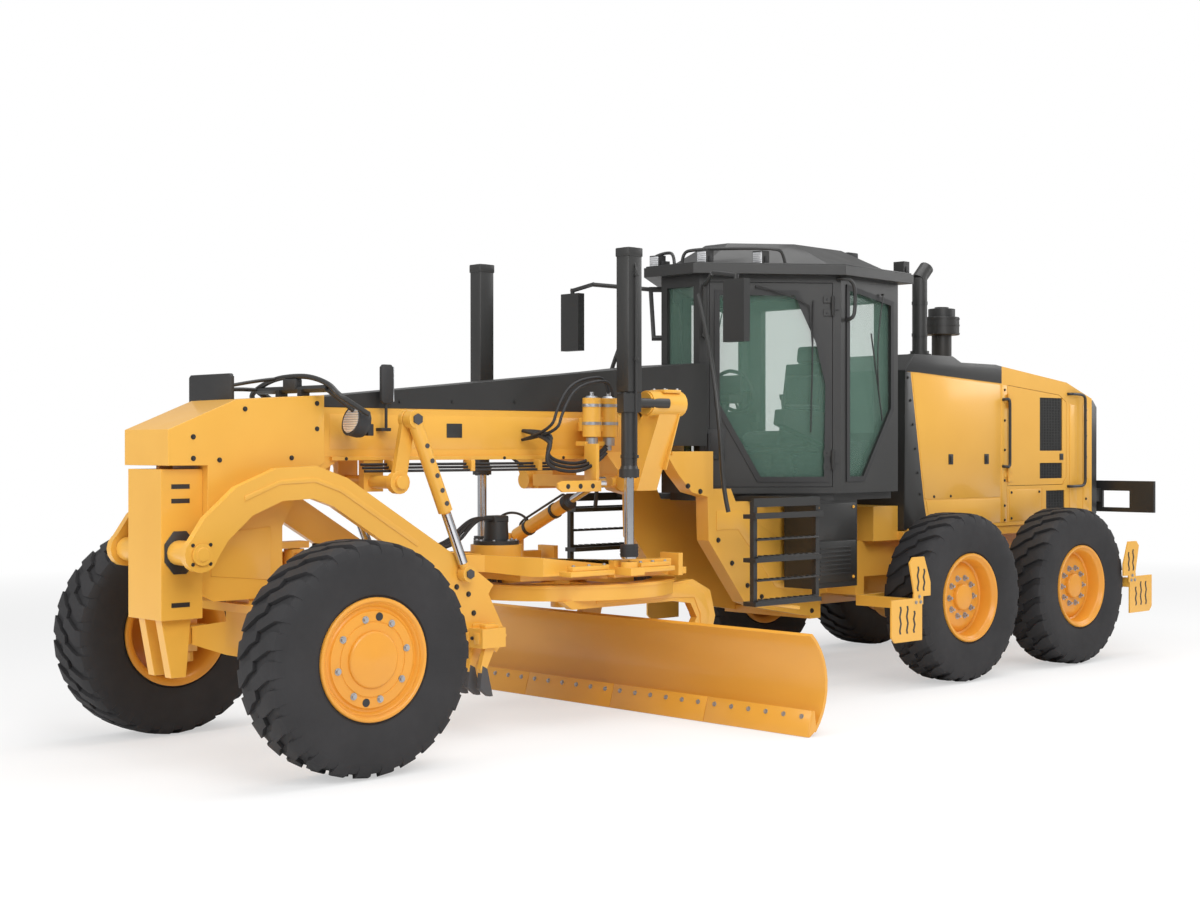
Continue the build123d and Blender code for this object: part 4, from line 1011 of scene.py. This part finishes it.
bm = bmesh.new()
for start, length, radius in ((190, 26, 54), (500, 26, 54), (640, 42, 56)):
    bar(bm, along_shift(start), along_shift(start + length), radius, 32)
bar(bm, along_shift(200, 48), along_shift(200, 74), 15, 14)
piece(bm, "shift_bands", "shift_barrel", black)
hoses("shift_pipes", "shift_barrel",
      [(8, [along_shift(120, 50), along_shift(130, 72), along_shift(300, 72), along_shift(600, 72),
            along_shift(640, 72), along_shift(655, 50)]),
       (9, [along_shift(200, 72), along_shift(190, 120, 3830), along_shift(90, 160, 3900),
            along_shift(20, 100, 3960)])], black)
bm = bmesh.new()
bar(bm, (4330, 0, 1150), (4330, 0, 1176), 150, 32)
bar(bm, (4330, 0, 1176), (4330, 0, 1300), 82, 28, 76)
box(bm, (4270, -60, 1290), (4390, 60, 1340), 10)
piece(bm, "circle_motor", "drawbar", black)
hoses("motor_hoses", "drawbar",
      [(12, [(4390, y, 1320), (4470, y, 1330), (4560, y * 1.4, 1290), (4700, y * 2, 1160),
             (5000, y * 2, 1120), (5400, y * 1.3, 1150), (5700, y, 1200)]) for y in (-30, 0, 30)])
bm = bmesh.new()
for facing in SIDES:
    for x0, x1 in ((3420, 3740), (3960, 4330)):
        box(bm, (x0, facing * 640, 966), (x1, facing * 760, 1000), 6)
        box(bm, (x0 + 30, facing * 680, 1000), (x1 - 30, facing * 740, 1030), 5)
    plate(bm, [(4620, facing * 176, 1100), (4950, facing * 136, 1132), (5480, facing * 76, 1164),
               (5480, facing * 140, 1164), (4950, facing * 214, 1132), (4640, facing * 240, 1102)],
          (0, 0, 6), 2)
piece(bm, "guide_shoes", "drawbar", yellow)
bm = bmesh.new()
for facing in SIDES:
    bolt_row(bm, [(x, facing * 710, 1030) for x in (3470, 3580, 3690, 4010, 4140, 4270)],
             (0, 0, 1), 11)
bolt_row(bm, [(4330 + dx, dy, 1176) for dx, dy in around(8, 128)], (0, 0, 1), 9)
bolt_row(bm, [(x, y, 1030) for x in (4225, 4435) for y in (-235, 235)], (0, 0, 1), 12)
piece(bm, "drawbar_bolts", "drawbar", zinc)

# %% Teeth and lip of the circle
bm = bmesh.new()
CIRCLE_X, CIRCLE_TEETH, TOOTH_RING = 3750, 66, 602
TOOTH_SIZE = Vector((24, 28, 84)) * MM
for i in range(CIRCLE_TEETH):
    turn = i * math.tau / CIRCLE_TEETH
    spot = at(CIRCLE_X + TOOTH_RING * math.cos(turn), TOOTH_RING * math.sin(turn), 850)
    turned = Matrix.Translation(spot) @ Matrix.Rotation(turn, 4, "Z")
    bmesh.ops.create_cube(bm, size=1.0, matrix=turned @ Matrix.Diagonal((*TOOTH_SIZE, 1)))
piece(bm, "circle_teeth", "circle", iron)
bm = bmesh.new()
c = at(CIRCLE_X, 0, 0)
lip = [bm.verts.new(c + Vector((r, 0, z)) * MM)
       for r, z in ((764, 880), (772, 880), (772, 892), (764, 892))]
edges = [bm.edges.new(pair) for pair in zip(lip, lip[1:] + lip[:1])]
bmesh.ops.spin(bm, geom=lip + edges, cent=c, axis=(0, 0, 1), angle=math.tau, steps=96,
               use_merge=True)
for facing in SIDES:
    bar(bm, (3130, facing * 620, 330), (3130, facing * 650, 330), 62, 32)
    bar(bm, (3130, facing * 650, 330), (3130, facing * 662, 330), 40, 6)
    slab(bm, [(3200, 866), (3120, 840), (3010, 780), (2960, 640), (2990, 500), (3050, 500),
              (3050, 640), (3110, 760), (3300, 770), (4000, 770), (4000, 790)],
         facing, 619, 626, 3)
piece(bm, "circle_trim", "circle", yellow)

# %% Cutting edges and bolts of the blade
bm = bmesh.new()
BLADE_RIGHT, BLADE_LEFT = -1618, 2040
BLADE_LONG = BLADE_LEFT - BLADE_RIGHT
EDGES, EDGE_BOLTS = 4, 24
span = BLADE_LONG / EDGES
for i in range(EDGES):
    y = BLADE_RIGHT + i * span
    outline = [(x, y + 2, z) for x, z in ((3467, 160), (3479, 163), (3523, 3), (3511, 0.5))]
    plate(bm, outline, (0, span - 4, 0), 1.5)
piece(bm, "cutting_edges", "moldboard", blade_paint)
bm = bmesh.new()
for i in range(EDGE_BOLTS):
    y = BLADE_RIGHT + (i + 0.5) * BLADE_LONG / EDGE_BOLTS
    bolt(bm, (3490, y, 122), (0.9636, 0, 0.267), 12)
piece(bm, "edge_bolts", "moldboard", zinc)
bm = bmesh.new()
for y in (-1400, -700, 0, 700, 1400, 1850):
    plate(bm, [(3330, y, 150), (3352, y, 150), (3352, y, 480), (3330, y, 480)], (0, 18, 0), 2)
piece(bm, "blade_ribs", "moldboard", blade_paint)

# %% [markdown]
# ## Scarifier, ladder and steps
# The scarifier's teeth have steel tips, and its long struts slide in sleeves with pin holes; the
# holes are dark discs, painted shade where they would show dark.
# The ladder under the cab door has flat rungs, and the step plates have rows of slots, drawn as
# thin black slabs that are painted shade in the slots.

# %% Scarifier
# each tooth: its place across, and how far the shallow V of the row sets it forward
TEETH = [(-540 + 108 * i, 60 - abs(i - 5) * 12) for i in range(11)]
bm = bmesh.new()
for y, back in TEETH:
    plate(bm, [(4874 + back, y - 22, 440), (4894 + back, y - 22, 300), (4822 + back, y - 22, 246),
               (4796 + back, y - 22, 246), (4838 + back, y - 22, 420)], (0, 44, 0), 2)
piece(bm, "scarifier_tips", "scarifier", iron)
bm = bmesh.new()
for y, back in TEETH:
    box(bm, (4756 + back, y - 30, 668), (4860 + back, y + 30, 694), 5)
    box(bm, (4900, y - 26, 575), (4908, y + 26, 645), 3)
for facing in SIDES:
    slab(bm, [(6440, 1520), (6220, 1606), (5990, 1618), (5800, 1556), (5270, 1220), (5280, 1190),
              (5820, 1530), (5990, 1590), (6220, 1580), (6440, 1490)], facing, 449, 455, 2)
piece(bm, "scarifier_plates", "scarifier", yellow)
bm = bmesh.new()
for facing in SIDES:
    places = ((4990, 930), (4900, 880), (4860, 760), (4780, 660), (4740, 570))
    bolt_row(bm, [(x, facing * 450, z) for x, z in places], (0, facing, 0), 13)
    bolt_row(bm, [(4910, facing * y, 610) for y in (60, 170, 280, 390, 500)], (1, 0, 0), 9)
piece(bm, "scarifier_bolts", "scarifier", black)
bm = bmesh.new()
for facing in SIDES:
    y = facing * 485
    bar(bm, (5095, y, 1388), (4968, y, 1078), 30, 28)
piece(bm, "strut_rods", "scarifier_struts", chrome)
# dark discs painted as the shade in the strut's pin holes, and two real hex nuts
bm = bmesh.new()
for facing in SIDES:
    for z in (1800, 1710, 1620, 1530, 1450):
        x = 5100 + (z - 1400) * 230 / 560
        bar(bm, (x, facing * 524, z), (x, facing * 531.5, z), 15, 18)
    bar(bm, (5330, facing * 515, 1960), (5330, facing * 534, 1960), 34, 6)
    bar(bm, (4940, facing * 515, 1010), (4940, facing * 532, 1010), 30, 6)
piece(bm, "strut_nuts_and_hole_shade", "scarifier_struts", iron)

# %% Ladder, boxes and step plates
STEP_SLOT_SHADES = [(1475, 740, 920), (1405, 740, 900), (1520, 440, 600), (1600, 440, 640),
              (1680, 440, 640)]
STEP_BOLTS = [(1445, 660), (1500, 660), (1460, 700)]
bm = bmesh.new()
for facing in SIDES:
    for z in (730, 870, 1030, 1150):
        box(bm, (2236, facing * 950, z), (2866, facing * 1000, z + 12), 3)
        for x in range(2260, 2860, 60):
            box(bm, (x, facing * 955, z + 10), (x + 26, facing * 995, z + 18), 2)
    slab(bm, rect(1580, 2040, 800, 1100), facing, 779, 786, 4)
    slab(bm, rect(1580, 2040, 1112, 1380), facing, 779, 786, 4)
    for i in range(7):
        slab(bm, rect(1640, 1980, 850 + 32 * i, 866 + 32 * i), facing, 785, 790, 2)
piece(bm, "ladder_treads", "front_frame", black)
bm = bmesh.new()
for facing in SIDES:
    slab(bm, [(2832, 740), (2832, 716), (2420, 650), (2420, 676)], facing, 930, 985, 3)
    for x in (1610, 2010):
        bolt(bm, (x, facing * 786, 1350), (0, facing, 0), 9)
        bolt(bm, (x, facing * 786, 830), (0, facing, 0), 9)
piece(bm, "ladder_foot", "front_frame", yellow)
# thin black slabs painted as the shade in the step plates' slots, which are not cut
bm = bmesh.new()
for facing in SIDES:
    for way in (1, -1):
        for x, low, high in STEP_SLOT_SHADES:
            wave = [(x + 7 * math.sin(k * math.pi / 2), low + (high - low) * k / 8)
                    for k in range(9)]
            outline = [(way * (px - 9), z) for px, z in wave]
            outline += [(way * (px + 9), z) for px, z in reversed(wave)]
            slab(bm, outline, facing, 1289, 1291.5, 0)
piece(bm, "step_slot_shade", "rear_frame", black)
bm = bmesh.new()
for facing in SIDES:
    for way in (1, -1):
        bolt_row(bm, [(way * x, facing * 1291, z) for x, z in STEP_BOLTS], (0, facing, 0), 10)
        bolt_row(bm, [(way * x, facing * 841, z) for x in (300, 520) for z in (500, 790)],
                 (0, facing, 0), 12)
        bolt_row(bm, [(way * (WHEEL_X["middle"] + dx), facing * 841, HUB_Z + dz)
                      for dx, dz in around(12, 168)],
                 (0, facing, 0), 9)
piece(bm, "tandem_bolts", "rear_frame", zinc)

# %% [markdown]
# ## Floor, backdrop and light
# The machine stands on a plain white floor that keeps its soft shadow. The floor is a wide disc
# whose own white is partly lit by a glow that only the camera sees, so it meets the white world
# at the horizon without more light on the paint.

# %% Stage
bm = bmesh.new()
bmesh.ops.create_circle(bm, cap_ends=True, segments=96, radius=60.0)
mesh = bpy.data.meshes.new("floor")
bm.to_mesh(mesh)
bm.free()
floor = thing("floor", mesh)
white, shader, add, wire = tree("floor_white")
shader.inputs["Base Color"].default_value = (0.9, 0.9, 0.9, 1)
shader.inputs["Roughness"].default_value = 0.9
shader.inputs["Specular IOR Level"].default_value = 0.0
far = add("ShaderNodeVectorMath", {"operation": "LENGTH"},
          {"Vector": add("ShaderNodeTexCoord").outputs["Object"]})
fade = add("ShaderNodeMapRange", {"From Min": 6.0, "From Max": 16.0, "To Min": 0.5, "To Max": 1.0},
           {"Value": far.outputs["Value"]})
seen = add("ShaderNodeLightPath").outputs["Is Camera Ray"]
share = add("ShaderNodeMath", {"operation": "MULTIPLY"}, {0: seen, 1: fade.outputs["Result"]})
glow = add("ShaderNodeEmission")
blend = add("ShaderNodeMixShader", None,
            {0: share.outputs[0], 1: shader.outputs[0], 2: glow.outputs[0]})
surface = white.node_tree.nodes["Material Output"].inputs["Surface"]
white.node_tree.links.new(blend.outputs[0], surface)
mesh.materials.append(white)

world = bpy.data.worlds.new("studio")
bpy.context.scene.world = world
world.use_nodes = True
nodes, links = world.node_tree.nodes, world.node_tree.links
sky = nodes["Background"]
sky.inputs["Color"].default_value = (1, 1, 1, 1)
path = nodes.new("ShaderNodeLightPath")
seen = nodes.new("ShaderNodeMath")
seen.operation = "MAXIMUM"
links.new(path.outputs["Is Camera Ray"], seen.inputs[0])
links.new(path.outputs["Is Transmission Ray"], seen.inputs[1])
level = nodes.new("ShaderNodeMapRange")
level.inputs["To Min"].default_value = 0.42
level.inputs["To Max"].default_value = 1.0
links.new(seen.outputs[0], level.inputs["Value"])
links.new(level.outputs["Result"], sky.inputs["Strength"])

LAMPS = [  # name, place, aim, size and power
    ("key", (6, 11, 8.5), (0, 0, 1.0), 7.0, 900),
    ("fill", (13, -1, 5.5), (3, 0, 1.2), 6.0, 420),
    ("top", (0, 1, 11), (0, 0, 0), 10.0, 700),
    ("back", (-10, 4, 6), (-2, 0, 1.5), 5.0, 250),
]
for name, spot, aim, size, power in LAMPS:
    light = bpy.data.lights.new(name, "AREA")
    light.size = size
    light.energy = power
    lamp = thing(name, light)
    lamp.location = spot
    lamp.rotation_euler = (Vector(aim) - Vector(spot)).to_track_quat("-Z", "Y").to_euler()
bpy.context.scene.view_settings.view_transform = "Standard"
print("lamps:", len(LAMPS))
